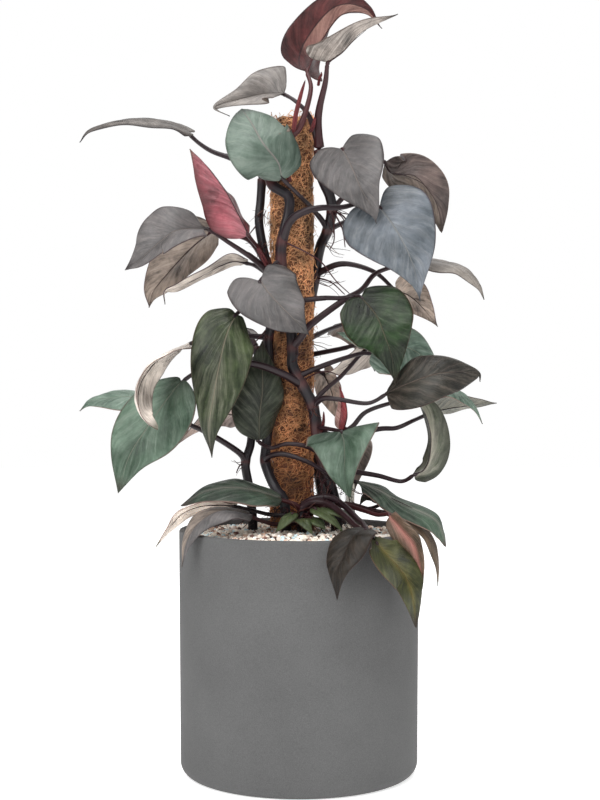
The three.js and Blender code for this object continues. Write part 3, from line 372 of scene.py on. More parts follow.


# Every finish of a blade's face: its ground and clouds, the bands along the side veins, veins, midrib, rim, how
# rough it is, how many side veins it has and how strong their bands are. The bands are pale, partly the leaf's own
# stripes and partly a painted sheen. centre, streak, inner and outer make a coloured middle, and seam a line round
# it; tip and tipping colour the point.
leafLooks = {
    "darkGreen": finish((24, 31, 22), (44, 50, 38), (104, 106, 94), (50, 54, 42), (96, 90, 78), (84, 62, 54), 0.36,
        9, 0.4, gloss=0.22, contrast=0.42),
    "cupGreen": finish((14, 36, 12), (40, 66, 32), (132, 138, 120), (48, 62, 42), (120, 112, 94), (112, 74, 64),
        0.32, 8, 0.35, gloss=0.2, contrast=0.5),
    "sheenGreen": finish((58, 84, 68), (98, 118, 104), (148, 156, 148), (84, 104, 90), (128, 132, 116),
        (126, 92, 82), 0.4, 8, 0.5, contrast=0.32),
    "smoothSheen": finish((54, 80, 60), (94, 114, 98), (142, 150, 140), (80, 100, 84), (124, 128, 114),
        (110, 84, 76), 0.4, 6, 0.28, contrast=0.24, shadow=0.5, sweep=0.5, gloss=0.28),
    "blueGreen": finish((82, 108, 92), (120, 136, 124), (152, 160, 150), (104, 120, 108), (164, 154, 150),
        (118, 128, 120), 0.42, 7, 0.35, midrib=0.065, contrast=0.22),
    "greyMauve": finish((90, 88, 88), (120, 116, 116), (148, 140, 136), (96, 90, 90), (150, 138, 130), (66, 42, 46),
        0.42, 8, 0.45, contrast=0.2),
    "greyWarm": finish((142, 135, 131), (164, 156, 150), (188, 180, 172), (120, 110, 104), (108, 92, 84),
        (104, 84, 76), 0.42, 8, 0.5, tip=(46, 38, 34), tipping=0.9, contrast=0.26),
    "rolledGrey": finish((112, 104, 100), (150, 142, 136), (176, 168, 162), (90, 80, 76), (60, 46, 46),
        (48, 36, 38), 0.5, 5, 0.3, margin=0.2, sweep=1.2, contrast=0.5, bump=0.1, tip=(34, 28, 28), tipping=1.0),
    "crownGrey": finish((126, 116, 110), (164, 154, 146), (200, 192, 184), (104, 92, 84), (66, 50, 46),
        (74, 58, 50), 0.42, 6, 0.6, margin=0.07, sweep=0.9, contrast=0.45, tip=(46, 38, 34), tipping=0.9),
    "curledGreen": finish((22, 32, 18), (54, 64, 44), (176, 170, 158), (96, 98, 80), (150, 142, 128), (34, 36, 26),
        0.36, 2, 0.35, margin=0.5, sweep=0.7, contrast=0.4, centre=(164, 158, 144), streak=0.8, outer=0.62,
        inner=0.1),
    "stripedGreen": finish((24, 40, 16), (66, 78, 48), (150, 150, 132), (66, 74, 50), (134, 124, 106), (96, 78, 66),
        0.34, 5, 0.35, gloss=0.24, centre=(158, 156, 138), streak=0.75, outer=0.34, inner=0.0, start=0.55,
        sweep=0.55, contrast=0.4),
    "rimBrown": finish((78, 70, 54), (106, 88, 72), (146, 122, 104), (90, 72, 60), (60, 40, 36), (60, 44, 38), 0.4,
        6, 0.4, sweep=0.8),
    "rimDark": finish((30, 27, 21), (52, 45, 37), (92, 78, 68), (58, 48, 40), (66, 48, 42), (84, 58, 50), 0.4, 7,
        0.3, contrast=0.35, gloss=0.2),
    "archedBrown": finish((25, 28, 23), (50, 50, 43), (122, 112, 102), (106, 92, 84), (124, 106, 96), (88, 66, 60),
        0.38, 7, 0.45, contrast=0.4, gloss=0.24),
    "stripedSheen": finish((34, 54, 40), (70, 90, 74), (150, 152, 142), (84, 100, 84), (166, 156, 146),
        (182, 146, 134), 0.36, 6, 0.4, centre=(150, 150, 140), streak=0.7, outer=0.34, inner=0.02, contrast=0.4,
        sweep=0.7, margin=0.05, gloss=0.26),
    "blueGrey": finish((90, 100, 108), (124, 131, 140), (156, 158, 160), (104, 108, 112), (146, 146, 144),
        (78, 50, 50), 0.4, 8, 0.45, contrast=0.2),
    "greyGreen": finish((96, 100, 90), (118, 116, 106), (150, 142, 130), (84, 84, 74), (76, 66, 58), (70, 58, 50),
        0.42, 7, 0.5, contrast=0.35),
    "brownUnder": finish((88, 78, 72), (110, 96, 88), (138, 122, 112), (70, 58, 54), (42, 26, 28), (150, 132, 120),
        0.46, 8, 0.55, contrast=0.35),
    "darkUnder": finish((66, 54, 52), (92, 78, 74), (132, 118, 110), (54, 42, 40), (42, 26, 28), (120, 102, 94),
        0.44, 8, 0.4, contrast=0.35),
    "beigeUnder": finish((128, 116, 107), (148, 134, 123), (174, 160, 148), (98, 84, 76), (56, 36, 36),
        (92, 68, 60), 0.46, 7, 0.6, contrast=0.45),
    "creamUnder": finish((184, 172, 162), (200, 190, 180), (214, 206, 198), (154, 140, 130), (84, 50, 50),
        (82, 54, 50), 0.46, 6, 0.4, bump=0.3, sweep=0.9, contrast=0.35, tip=(60, 62, 44), tipping=0.8),
    "pinkUnder": finish((176, 158, 150), (190, 172, 163), (206, 192, 184), (138, 112, 106), (112, 72, 70),
        (96, 66, 60), 0.46, 7, 0.5, contrast=0.35),
    "maroon": finish((58, 24, 26), (84, 38, 38), (128, 78, 74), (96, 52, 48), (34, 12, 16), (40, 16, 20), 0.4, 9,
        0.1, contrast=0.3),
    # the rosy middle of this underside is painted light shining through the blade
    "crownUnder": finish((60, 22, 24), (84, 36, 36), (134, 84, 80), (92, 48, 46), (40, 14, 18), (36, 14, 18), 0.36,
        9, 0.2, centre=(176, 134, 122), streak=1.0, inner=0.46, outer=0.48, seam=1.0, start=0.3, contrast=0.4),
    "rosyUnder": finish((136, 98, 92), (154, 118, 110), (186, 160, 152), (108, 66, 62), (50, 18, 22),
        (176, 168, 160), 0.36, 12, 0.6, margin=0.09, contrast=0.35),
    "youngRed": finish((122, 48, 58), (156, 78, 88), (206, 158, 162), (126, 62, 68), (84, 30, 38), (84, 42, 44),
        0.3, 10, 0.3, centre=(190, 128, 136), streak=0.4, contrast=0.35, tip=(110, 96, 84), tipping=0.7, margin=0.4,
        inner=0.1, outer=0.6),
    "redShoot": finish((96, 30, 36), (124, 48, 52), (180, 96, 92), (110, 40, 42), (72, 22, 26), (84, 32, 34), 0.3,
        8, 0.3),
    "pinkStreak": finish((78, 72, 54), (100, 78, 64), (150, 122, 108), (108, 76, 66), (190, 132, 120), (60, 50, 40),
        0.36, 10, 0.3, centre=(196, 136, 126), streak=1.0, outer=0.6, inner=0.15, contrast=0.45, sweep=0.8),
    "oliveGreen": finish((42, 52, 24), (82, 84, 46), (128, 126, 84), (72, 76, 44), (150, 112, 62), (128, 88, 66),
        0.34, 9, 0.4, gloss=0.22, centre=(150, 140, 76), streak=0.8, contrast=0.45),
    "shootGreen": finish((54, 68, 38), (70, 82, 50), (98, 106, 76), (84, 92, 64), (92, 88, 66), (110, 82, 70), 0.34,
        6, 0.4),
}
lightness = 0.86  # how much of a colour seen in the picture is the leaf's own, the rest being gloss


def lookColour(tree, pattern, look, shade):
    usual = {"centre": look["pale"], "tip": [value * 0.5 for value in look["rim"]]}
    # shade scales the finish for one leaf: partly its own tone, partly painted light and shade
    tones = {key: colourOf(*look.get(key, usual.get(key)), share=lightness * shade)
             for key in ("base", "cloud", "pale", "vein", "centre", "rib", "rim", "tip")}
    shares = {"streak": 0.0, "tipping": 0.7, "contrast": 0.3, "inner": 0.08, "outer": 0.42, "shadow": 0.7,
              "seam": 0.0, "start": 0.0}
    shares = {key: look.get(key, shares.get(key)) for key in ("banding", *shares)}
    given = {key.capitalize(): value for key, value in {**tones, **shares}.items()}
    seen = {key: pattern[key] for key in ("Midrib", "Veins", "Bands", "Lines", "Margin", "Clouds", "Along",
                                          "Reach", "Streaks")}
    return useGroup(tree, leafColours, **given, **seen)["Colour"]


def leafMaterial(name, shade):  # name may be two finishes, "left/right", one for each half of the face
    first, *rest = name.split("/")
    look = leafLooks[first]
    material, tree, surface = newMaterial(name.replace("/", "_"), Specular_IOR_Level=look.get("gloss", 0.32))
    pattern = useGroup(tree, leafPattern, UV=surfaceUv(tree), Coords=objectCoords(tree),
                       Veins=float(look["veins"]), Sweep=look.get("sweep", 0.3),
                       Midrib=look.get("midrib", 0.05), Margin=look.get("margin", 0.035))
    colour = lookColour(tree, pattern, look, shade)
    for other in rest:
        colour = mixColour(tree, pattern["Half"], colour, lookColour(tree, pattern, leafLooks[other], shade))
    gloss = maths(tree, "MULTIPLY_ADD", pattern["Clouds"], 0.12, look["rough"] - 0.06)
    paint(tree, surface, colour, gloss, pattern["Height"], look.get("bump", 0.6), 0.8)
    return material


leafMaterials = {}


# lighter and darker copies of a finish, one for each shade: partly painted light and shade
def materialFor(name, shade):
    if (name, shade) not in leafMaterials:
        leafMaterials[name, shade] = leafMaterial(name, shade)
    return leafMaterials[name, shade]


# Leaf blades.
blade = {"columns": 28, "rows": 56, "thickness": 0.9, "round": 0.05, "edgeRoll": 1.0, "crowd": 1.25,
         "belly": 2.6, "quilt": 0.55, "quilts": 7.5,  # the face bulges, and again between its side veins
         "level": 0.42, "rise": 0.48}  # where along the midrib its face is given, and how it widens
leafShape = {
    "fold": (-8, -8), "curl": 0, "twist": 0, "lobe": 12, "heel": 0.05, "widest": 0.25, "point": 0.25, "wave": 2,
    "waves": 2.5, "base": 0.4,
}
usualLook = ("darkGreen", "brownUnder", 1.0)


# A blade: its midrib from the stalk to the tip, greatest width, the way its face looks, the finishes of its upper
# side and underside with how light they are, and what differs from leafShape. How light they are is partly the
# leaf's own tone and partly painted light and shade for where the leaf sits in the light.
def leaf(midrib, width, face, look=usualLook, **own):
    return {"midrib": midrib, "width": width, "face": face, "look": look, **own}


bladeForm = {
    "leaf_crown_maroon": leaf([(11, 5, 876), (24, 14, 907), (52, 26, 946), (83, 36, 949), (104, 40, 930)], 89,
        (0.1, 0.75, 0.6), ("maroon", "maroon/crownUnder", 0.77), slot="leaf_maroon", fold=(70, 0), twist=90, lobe=0,
        heel=0.03, widest=0.22),
    "leaf_crown_folded": leaf([(36, -24, 888), (57, -42, 903), (81, -48, 927), (124, -30, 948)], 72,
        (-0.72, 0.09, 0.69), ("crownGrey", "crownGrey", 1.04), slot="leaf_grey", fold=(48, 40), twist=24,
        heel=0.184, widest=0.15, point=0),
    "leaf_upper_left_grey": leaf([(-19, 10, 848), (-41, 16, 848), (-70, 8, 842), (-105, 4, 831), (-87, 2, 820)], 82,
        (0.66, -0.67, 0.34), ("greyWarm", "beigeUnder", 0.62), slot="leaf_grey", fold=(46, 3), twist=-53, lobe=2,
        heel=0.012, widest=0.14, point=0.2),
    "leaf_far_left_rolled": leaf([(-139, 6, 800), (-160, 4, 808), (-192, 4, 812), (-228, 2, 811), (-262, 0, 802),
        (-275, -2, 787)], 56, (0, -0.15, 1), ("rolledGrey", "rolledGrey", 0.42), slot="leaf_pale", fold=(-8, 10),
        lobe=8),
    "leaf_front_round": leaf([(-22, -26, 745), (-27, -31, 763), (-45, -44, 786), (-60, -30, 812), (-72, -18, 829)],
        91, (0.13, -0.97, 0.22), ("blueGreen", "beigeUnder", 0.65), slot="leaf_grey", fold=(-18, -11), twist=15,
        lobe=5, heel=0.005, widest=0.47, point=0.17),
    "leaf_left_young_red": leaf([(-63, -36, 671), (-76, -42, 697), (-92, -48, 726), (-117, -44, 759),
        (-137, -40, 779)], 90, (0.17, 0.99, -0.01), ("youngRed", "youngRed", 0.92), slot="leaf_young_red",
        fold=(95, 23), twist=9, lobe=1, heel=0.04, widest=0.3),
    "leaf_left_drooping": leaf([(-113, -10, 679), (-151, -32, 677), (-172, -26, 664), (-195, -23, 644),
        (-218, -8, 627)], 80, (-0.37, -0.73, 0.57), ("greyMauve", "brownUnder", 0.78), slot="leaf_grey",
        fold=(18, 22), twist=-1, lobe=-10, heel=0.005, widest=0.43, point=0.8),
    "leaf_left_brown_back": leaf([(-110, 26, 675), (-135, 26, 655), (-163, 22, 625), (-183, 16, 600),
        (-188, 10, 580)], 74, (-0.3, 0.85, 0.4), ("greyMauve", "beigeUnder", 1.35), slot="leaf_grey", fold=(10, 25),
        lobe=5),
    "leaf_left_pale_thin": leaf([(-66, 24, 637), (-90, 20, 637), (-118, 12, 622), (-150, 4, 606), (-168, 0, 600),
        (-168, 0, 584)], 38, (-0.35, 0.3, 0.87), ("greyMauve", "creamUnder", 1.4), slot="leaf_pale", fold=(5, 5),
        lobe=2, heel=0.02),
    "leaf_centre_heart": leaf([(-48, -44, 613), (-36, -56, 596), (-13, -66, 572), (3, -64, 556), (13, -58, 545)],
        90, (0.05, -0.85, 0.5), ("greyMauve", "brownUnder", 0.63), slot="leaf_grey", lobe=20, heel=0.1,
        widest=0.15),
    "leaf_upper_right_grey": leaf([(54, -14, 779), (65, -36, 759), (77, -57, 731), (93, -55, 702), (97, -56, 685)],
        94, (-0.35, -0.8, 0.49), ("greyMauve", "brownUnder", 0.6), slot="leaf_grey", fold=(-4, -4), twist=15,
        lobe=16, heel=0.065, widest=0.15, point=0.32),
    "leaf_upper_right_brown": leaf([(107, 10, 762), (119, 5, 747), (145, -5, 745), (166, -7, 722), (175, 1, 702),
        (179, 2, 674)], 57, (0.22, 0.86, 0.45), ("greyMauve", "beigeUnder/darkUnder", 0.95), slot="leaf_grey",
        fold=(13, 34), twist=-31, lobe=-1, heel=0.118, widest=0.46, point=0.8),
    "leaf_right_blue_large": leaf([(101, -30, 706), (119, -42, 682), (137, -52, 649), (148, -58, 615),
        (152, -54, 587)], 118, (-0.1, -0.92, 0.35), ("blueGrey", "brownUnder", 0.73), slot="leaf_grey", lobe=19,
        widest=0.17),
    "leaf_right_pale_thin": leaf([(150, 14, 640), (180, 8, 636), (206, 4, 628), (226, 2, 608), (232, 4, 590)], 70,
        (0.2, -0.25, 0.93), ("creamUnder", "creamUnder", 0.38), slot="leaf_pale"),
    "leaf_right_brown_back": leaf([(122, 44, 602), (140, 38, 594), (158, 32, 577), (174, 28, 556)], 54,
        (0.3, 0.8, 0.5), ("greyMauve", "beigeUnder", 2.1), slot="leaf_pale", fold=(10, 10), lobe=5),
    "leaf_right_green_cupped": leaf([(78, -34, 593), (97, -52, 570), (107, -66, 546), (116, -58, 520),
        (122, -56, 483)], 88, (-0.31, -0.92, 0.23), ("cupGreen", "brownUnder", 0.54), fold=(-8, 0), twist=16,
        lobe=7, heel=0.037, widest=0.26, point=0.29),
    "leaf_right_small_back": leaf([(92, 16, 536), (78, 14, 541), (62, 12, 545), (46, 10, 549)], 34, (0, -0.6, 0.8),
        ("sheenGreen", "brownUnder", 1.4), lobe=3),
    "leaf_right_green_back": leaf([(92, -6, 524), (115, -6, 531), (140, -6, 528), (165, -2, 510), (182, 4, 492)],
        78, (0, -0.85, 0.5), ("sheenGreen", "brownUnder", 1.4), lobe=8),
    "leaf_right_dark_arched": leaf([(109, -38, 472), (143, -70, 487), (175, -77, 497), (205, -63, 499),
        (225, -53, 497), (227, -52, 487)], 69, (-0.38, -0.91, 0.18), ("archedBrown", "brownUnder", 0.61),
        slot="leaf_grey", fold=(-22, 9), twist=17, lobe=-4, heel=0.005, widest=0.24, point=0.72),
    "leaf_right_pale_low": leaf([(162, 20, 448), (190, 22, 454), (222, 22, 458), (248, 20, 460)], 60, (0, 0.4, 0.9),
        ("greyGreen", "greyGreen", 1.05), slot="leaf_pale", fold=(12, 12), lobe=6),
    "leaf_right_green_point": leaf([(150, -2, 470), (172, -8, 476), (198, -14, 473), (220, -20, 455),
        (230, -20, 434)], 44, (0.2, -0.3, 0.93), ("sheenGreen", "brownUnder", 1.2), lobe=3, heel=0.01),
    "leaf_right_curled": leaf([(146, -22, 370), (160, -28, 380), (166, -34, 406), (163, -38, 436), (152, -38, 460),
        (141, -36, 473)], 52, (0.75, 0.6, 0.2), ("curledGreen", "curledGreen", 1.3), fold=(75, 35), lobe=6,
        widest=0.4, point=0.4),
    "leaf_low_centre_sheen": leaf([(53, -40, 424), (57, -47, 407), (58, -71, 371), (63, -67, 346), (67, -67, 342)],
        101, (0.05, -0.9, 0.44), ("smoothSheen", "brownUnder", 0.85), fold=(46, -2), twist=46, lobe=0, heel=0.035,
        widest=0.12, point=0.21),
    "leaf_right_young_red": leaf([(56, -4, 428), (60, -6, 446), (57, -6, 466), (50, -4, 483)], 30, (-0.9, -0.3, 0),
        ("rosyUnder/redShoot", "redShoot", 1.7), slot="leaf_young_red", fold=(55, 55), lobe=2, wave=0),
    "leaf_left_green_hanging": leaf([(-79, -44, 571), (-90, -62, 549), (-99, -72, 513), (-107, -76, 469),
        (-113, -74, 428), (-109, -66, 392)], 80, (-0.1, -0.95, 0.25), ("stripedGreen", "brownUnder", 0.8),
        fold=(-25, -8), twist=50, lobe=4, heel=0.02, widest=0.28, point=0.3),
    "leaf_left_dark_upright": leaf([(-50, -16, 414), (-50, -17, 442), (-46, -20, 475), (-46, -17, 509),
        (-46, 0, 538)], 72, (0.47, -0.88, 0.01), ("darkGreen", "brownUnder", 1.15), fold=(-26, -15), twist=-24,
        lobe=0, heel=0.005, widest=0.4, point=0.75),
    "leaf_low_left_large": leaf([(-148, -30, 487), (-169, -38, 460), (-196, -45, 421), (-214, -55, 391),
        (-227, -55, 347)], 99, (0.05, -0.67, 0.74), ("smoothSheen", "brownUnder", 0.91), fold=(-1, -7), twist=-43,
        lobe=4, heel=0.005, widest=0.31, point=0.15),
    "leaf_left_pale_arching": leaf([(-135, -12, 537), (-168, -42, 520), (-192, -67, 499), (-204, -98, 465),
        (-196, -109, 442), (-177, -110, 427)], 59, (-0.88, 0.22, 0.43), ("creamUnder", "creamUnder", 1.3),
        slot="leaf_pale", fold=(-18, -27), twist=95, lobe=-7, heel=0.005, widest=0.5, point=0.58),
    "leaf_far_left_small": leaf([(-187, 4, 462), (-212, 4, 468), (-240, 2, 466), (-262, 0, 462), (-275, 0, 450)],
        56, (0, -0.45, 0.9), ("sheenGreen", "brownUnder", 1.12), heel=0.02),
    "leaf_left_brown_low": leaf([(-74, 24, 445), (-98, 28, 446), (-125, 30, 434), (-154, 30, 407)], 60,
        (-0.1, 0.45, 0.9), ("greyGreen", "pinkUnder", 1.1), slot="leaf_pale", lobe=5, heel=0.02),
    "leaf_rim_left_green": leaf([(-24, -34, 341), (-50, -44, 349), (-82, -52, 354), (-118, -54, 349),
        (-148, -48, 331)], 62, (0, -0.42, 0.9), ("stripedSheen", "brownUnder", 0.6), lobe=2, heel=0.005, widest=0.4,
        point=0.4),
    "leaf_rim_left_pale": leaf([(-80, -14, 332), (-118, -12, 332), (-146, -10, 322), (-164, -8, 302),
        (-180, -6, 279)], 36, (-0.5, 0.5, 0.7), ("creamUnder", "creamUnder", 2.5), slot="leaf_pale", lobe=4),
    "leaf_rim_left_grey": leaf([(-63, -46, 321), (-97, -66, 325), (-124, -86, 311), (-141, -100, 286),
        (-147, -104, 254)], 44, (-0.3, -0.6, 0.75), ("greyMauve/beigeUnder", "beigeUnder", 0.78), slot="leaf_pale",
        lobe=3, heel=0.01, point=0.3),
    "leaf_rim_front_dark": leaf([(84, -132, 301), (68, -156, 292), (56, -166, 267), (48, -176, 246),
        (48, -170, 213)], 50, (0.19, -0.55, 0.81), ("rimDark", "brownUnder", 0.6), fold=(28, -28), twist=-5, lobe=2,
        heel=0.051, widest=0.31, point=0.55),
    "leaf_rim_right_olive": leaf([(98, -152, 284), (111, -155, 269), (132, -128, 244), (142, -129, 218),
        (147, -104, 178)], 48, (0.42, -0.89, 0.2), ("oliveGreen", "brownUnder", 0.54), fold=(3, 9), twist=30,
        lobe=8, heel=0.005, widest=0.36, point=0.36),
    "leaf_rim_right_pink": leaf([(112, -85, 321), (131, -108, 299), (144, -111, 282), (151, -112, 259),
        (156, -110, 234)], 35, (0.39, -0.88, -0.26), ("pinkStreak", "pinkStreak", 1.2), slot="leaf_young_red",
        fold=(64, -21), twist=17, lobe=-5, heel=0.005, widest=0.35, point=0.26),
    "leaf_rim_right_brown": leaf([(128, -20, 318), (148, -26, 311), (166, -30, 288), (174, -34, 258),
        (174, -34, 230)], 40, (0.7, -0.3, 0.6), ("rimBrown", "rimBrown", 1.0), slot="leaf_pale", lobe=3),
    "leaf_low_right_green": leaf([(70, -22, 363), (102, -25, 350), (124, -27, 336), (168, -37, 316),
        (180, -35, 297), (184, -32, 280)], 45, (0.56, -0.58, 0.59), ("stripedSheen", "brownUnder", 0.9),
        fold=(-19, -12), twist=4, lobe=-10, heel=0.103, widest=0.49, point=0.74),
    "leaf_rim_right_small": leaf([(100, -2, 340), (91, -4, 345), (82, -6, 342), (76, -8, 332)], 22, (0, -0.6, 0.8),
        lobe=2, wave=0),
    "leaf_pole_right_pale": leaf([(90, 30, 527), (74, 32, 517), (54, 32, 504), (33, 32, 496)], 44, (0, 0.6, 0.8),
        ("creamUnder", "creamUnder", 1.2), slot="leaf_pale", lobe=3),
    "leaf_pole_right_brown": leaf([(32, 82, 496), (40, 80, 478), (46, 74, 456), (50, 70, 436)], 50, (0.5, 0.6, 0.4),
        ("beigeUnder", "beigeUnder", 2.5), slot="leaf_pale"),
    "leaf_back_upper": leaf([(-52, 66, 785), (-52, 90, 800), (-46, 120, 798), (-36, 145, 775), (-30, 155, 752)], 66,
        (0, 0.6, 0.8), lobe=6),
    "leaf_back_right_upper": leaf([(80, 80, 690), (98, 105, 690), (113, 130, 668), (122, 145, 634)], 90,
        (0.2, 0.7, 0.65)),
    "leaf_back_centre": leaf([(-10, 105, 640), (-14, 130, 640), (-12, 150, 612), (-8, 158, 575)], 66,
        (0, 0.85, 0.5)),
    "leaf_back_right_middle": leaf([(60, 110, 562), (76, 134, 560), (88, 154, 535), (95, 164, 500)], 84,
        (0.2, 0.8, 0.55)),
    "leaf_back_left": leaf([(-78, 76, 556), (-92, 100, 555), (-100, 124, 530), (-102, 136, 495)], 84,
        (-0.2, 0.8, 0.55)),
    "leaf_back_low_left": leaf([(-66, 84, 465), (-60, 110, 470), (-48, 138, 450), (-40, 150, 412)], 80,
        (0.1, 0.8, 0.6)),
    "leaf_back_low_right": leaf([(45, 110, 405), (58, 132, 408), (68, 154, 385), (70, 166, 350)], 78,
        (0.1, 0.8, 0.6)),
}


def bladeOutline(share, spec):  # half width, as a share of the greatest half width
    share = min(1, share)
    widest, heel, rise = spec["widest"], spec["heel"], blade["rise"]
    fall = rise * (1 - widest) / (widest + heel)
    drawnOut = 1 - spec["point"] * max(0, 2 * share - 1) ** 1.5
    return drawnOut * ((share + heel) / (widest + heel)) ** rise * ((1 - share) / (1 - widest)) ** fall


def bladeFrames(spec, rows):
    points = [place(spot) for spot in spec["midrib"]]
    side = heading(lineThrough(points), spec["base"]).cross(Vector(spec["face"]).normalized())
    return framesAlong(points, rows, side, blade["level"])


def twistedSide(spec, one):  # across the blade at one of its frames
    twist = math.radians(spec["twist"] * (one["share"] - spec["base"]))
    return Matrix.Rotation(twist, 3, one["along"]) @ one["side"]


def bladeMesh(form, columns, rows):
    spec = {**leafShape, **form}
    frames = bladeFrames(spec, rows)
    length = sum((b["at"] - a["at"]).length for a, b in zip(frames, frames[1:]))
    bm = gridMesh(columns, rows)
    for vert in bm.verts:
        hand = math.copysign(1, vert.co.x) if abs(vert.co.x) > 1e-6 else 0
        reach = abs(vert.co.x) ** blade["crowd"]
        one = frames[round((vert.co.y + 1) / 2 * rows)]
        share = one["share"]
        across = twistedSide(spec, one)
        up = across.cross(one["along"])
        ahead = blade["round"] * reach ** 5 * (1 - share) ** 6  # rounds the corner of each lobe
        half = spec["width"] / 2000 * bladeOutline(share + ahead, spec)
        back = spec["lobe"] / 1000 * max(0, 1 - share / 0.5) ** 2
        fold = math.radians(spec["fold"][0 if hand < 0 else 1] + spec["curl"] * reach)
        turn = fold if hand else 0
        normal = up * math.cos(turn) - across * hand * math.sin(turn)
        ripple = spec["wave"] / 1000 * reach ** 2 * math.sin(2 * math.pi * spec["waves"] * share + hand)
        roll = blade["edgeRoll"] / 1000 * reach ** 8 * (1 - share) ** 0.5
        between = 0.5 - 0.5 * math.cos(2 * math.pi * blade["quilts"] * (share - 0.3 * reach ** 0.8) + hand)
        quilt = blade["quilt"] / 1000 * between * math.sin(math.pi * reach)
        belly = blade["belly"] / 1000 * math.sin(math.pi * reach) * math.sin(math.pi * min(1, share + 0.15))
        belly = (belly + quilt) * min(1, spec["width"] / 60)
        vert.co = (
            one["at"]
            + across * hand * reach * half * math.cos(fold)
            + up * reach * half * math.sin(fold)
            + one["along"] * (ahead * length - back * math.sin(0.75 * math.pi * reach))
            + normal * (ripple * (1 - share) - roll + belly)
        )
    bmesh.ops.remove_doubles(bm, verts=bm.verts, dist=2e-5)
    return bm


def pieceName(node):  # leaf_front_round -> leafFrontRound
    first, *rest = node.split("_")
    return first + "".join(word.capitalize() for word in rest)


def makeBlade(node):
    bm = bladeMesh(bladeForm[node], blade["columns"], blade["rows"])
    upper, under, shade = bladeForm[node]["look"]
    looks = [materialFor(upper, shade), materialFor(under, shade)]
    piece = finishPiece(bm, pieceName(node), looks, bladeForm[node].get("slot", "leaf_green"))
    addWall(piece, blade["thickness"], 1)
    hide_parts(node)


# A stalk: its blade and its line from the stem, and where they differ from the usual its radius at the foot, its
# tip, and its tone from purple black, 0, to red, 1.
def stalk(leafName, path, **own):
    return {"leaf": leafName, "path": path, **own}


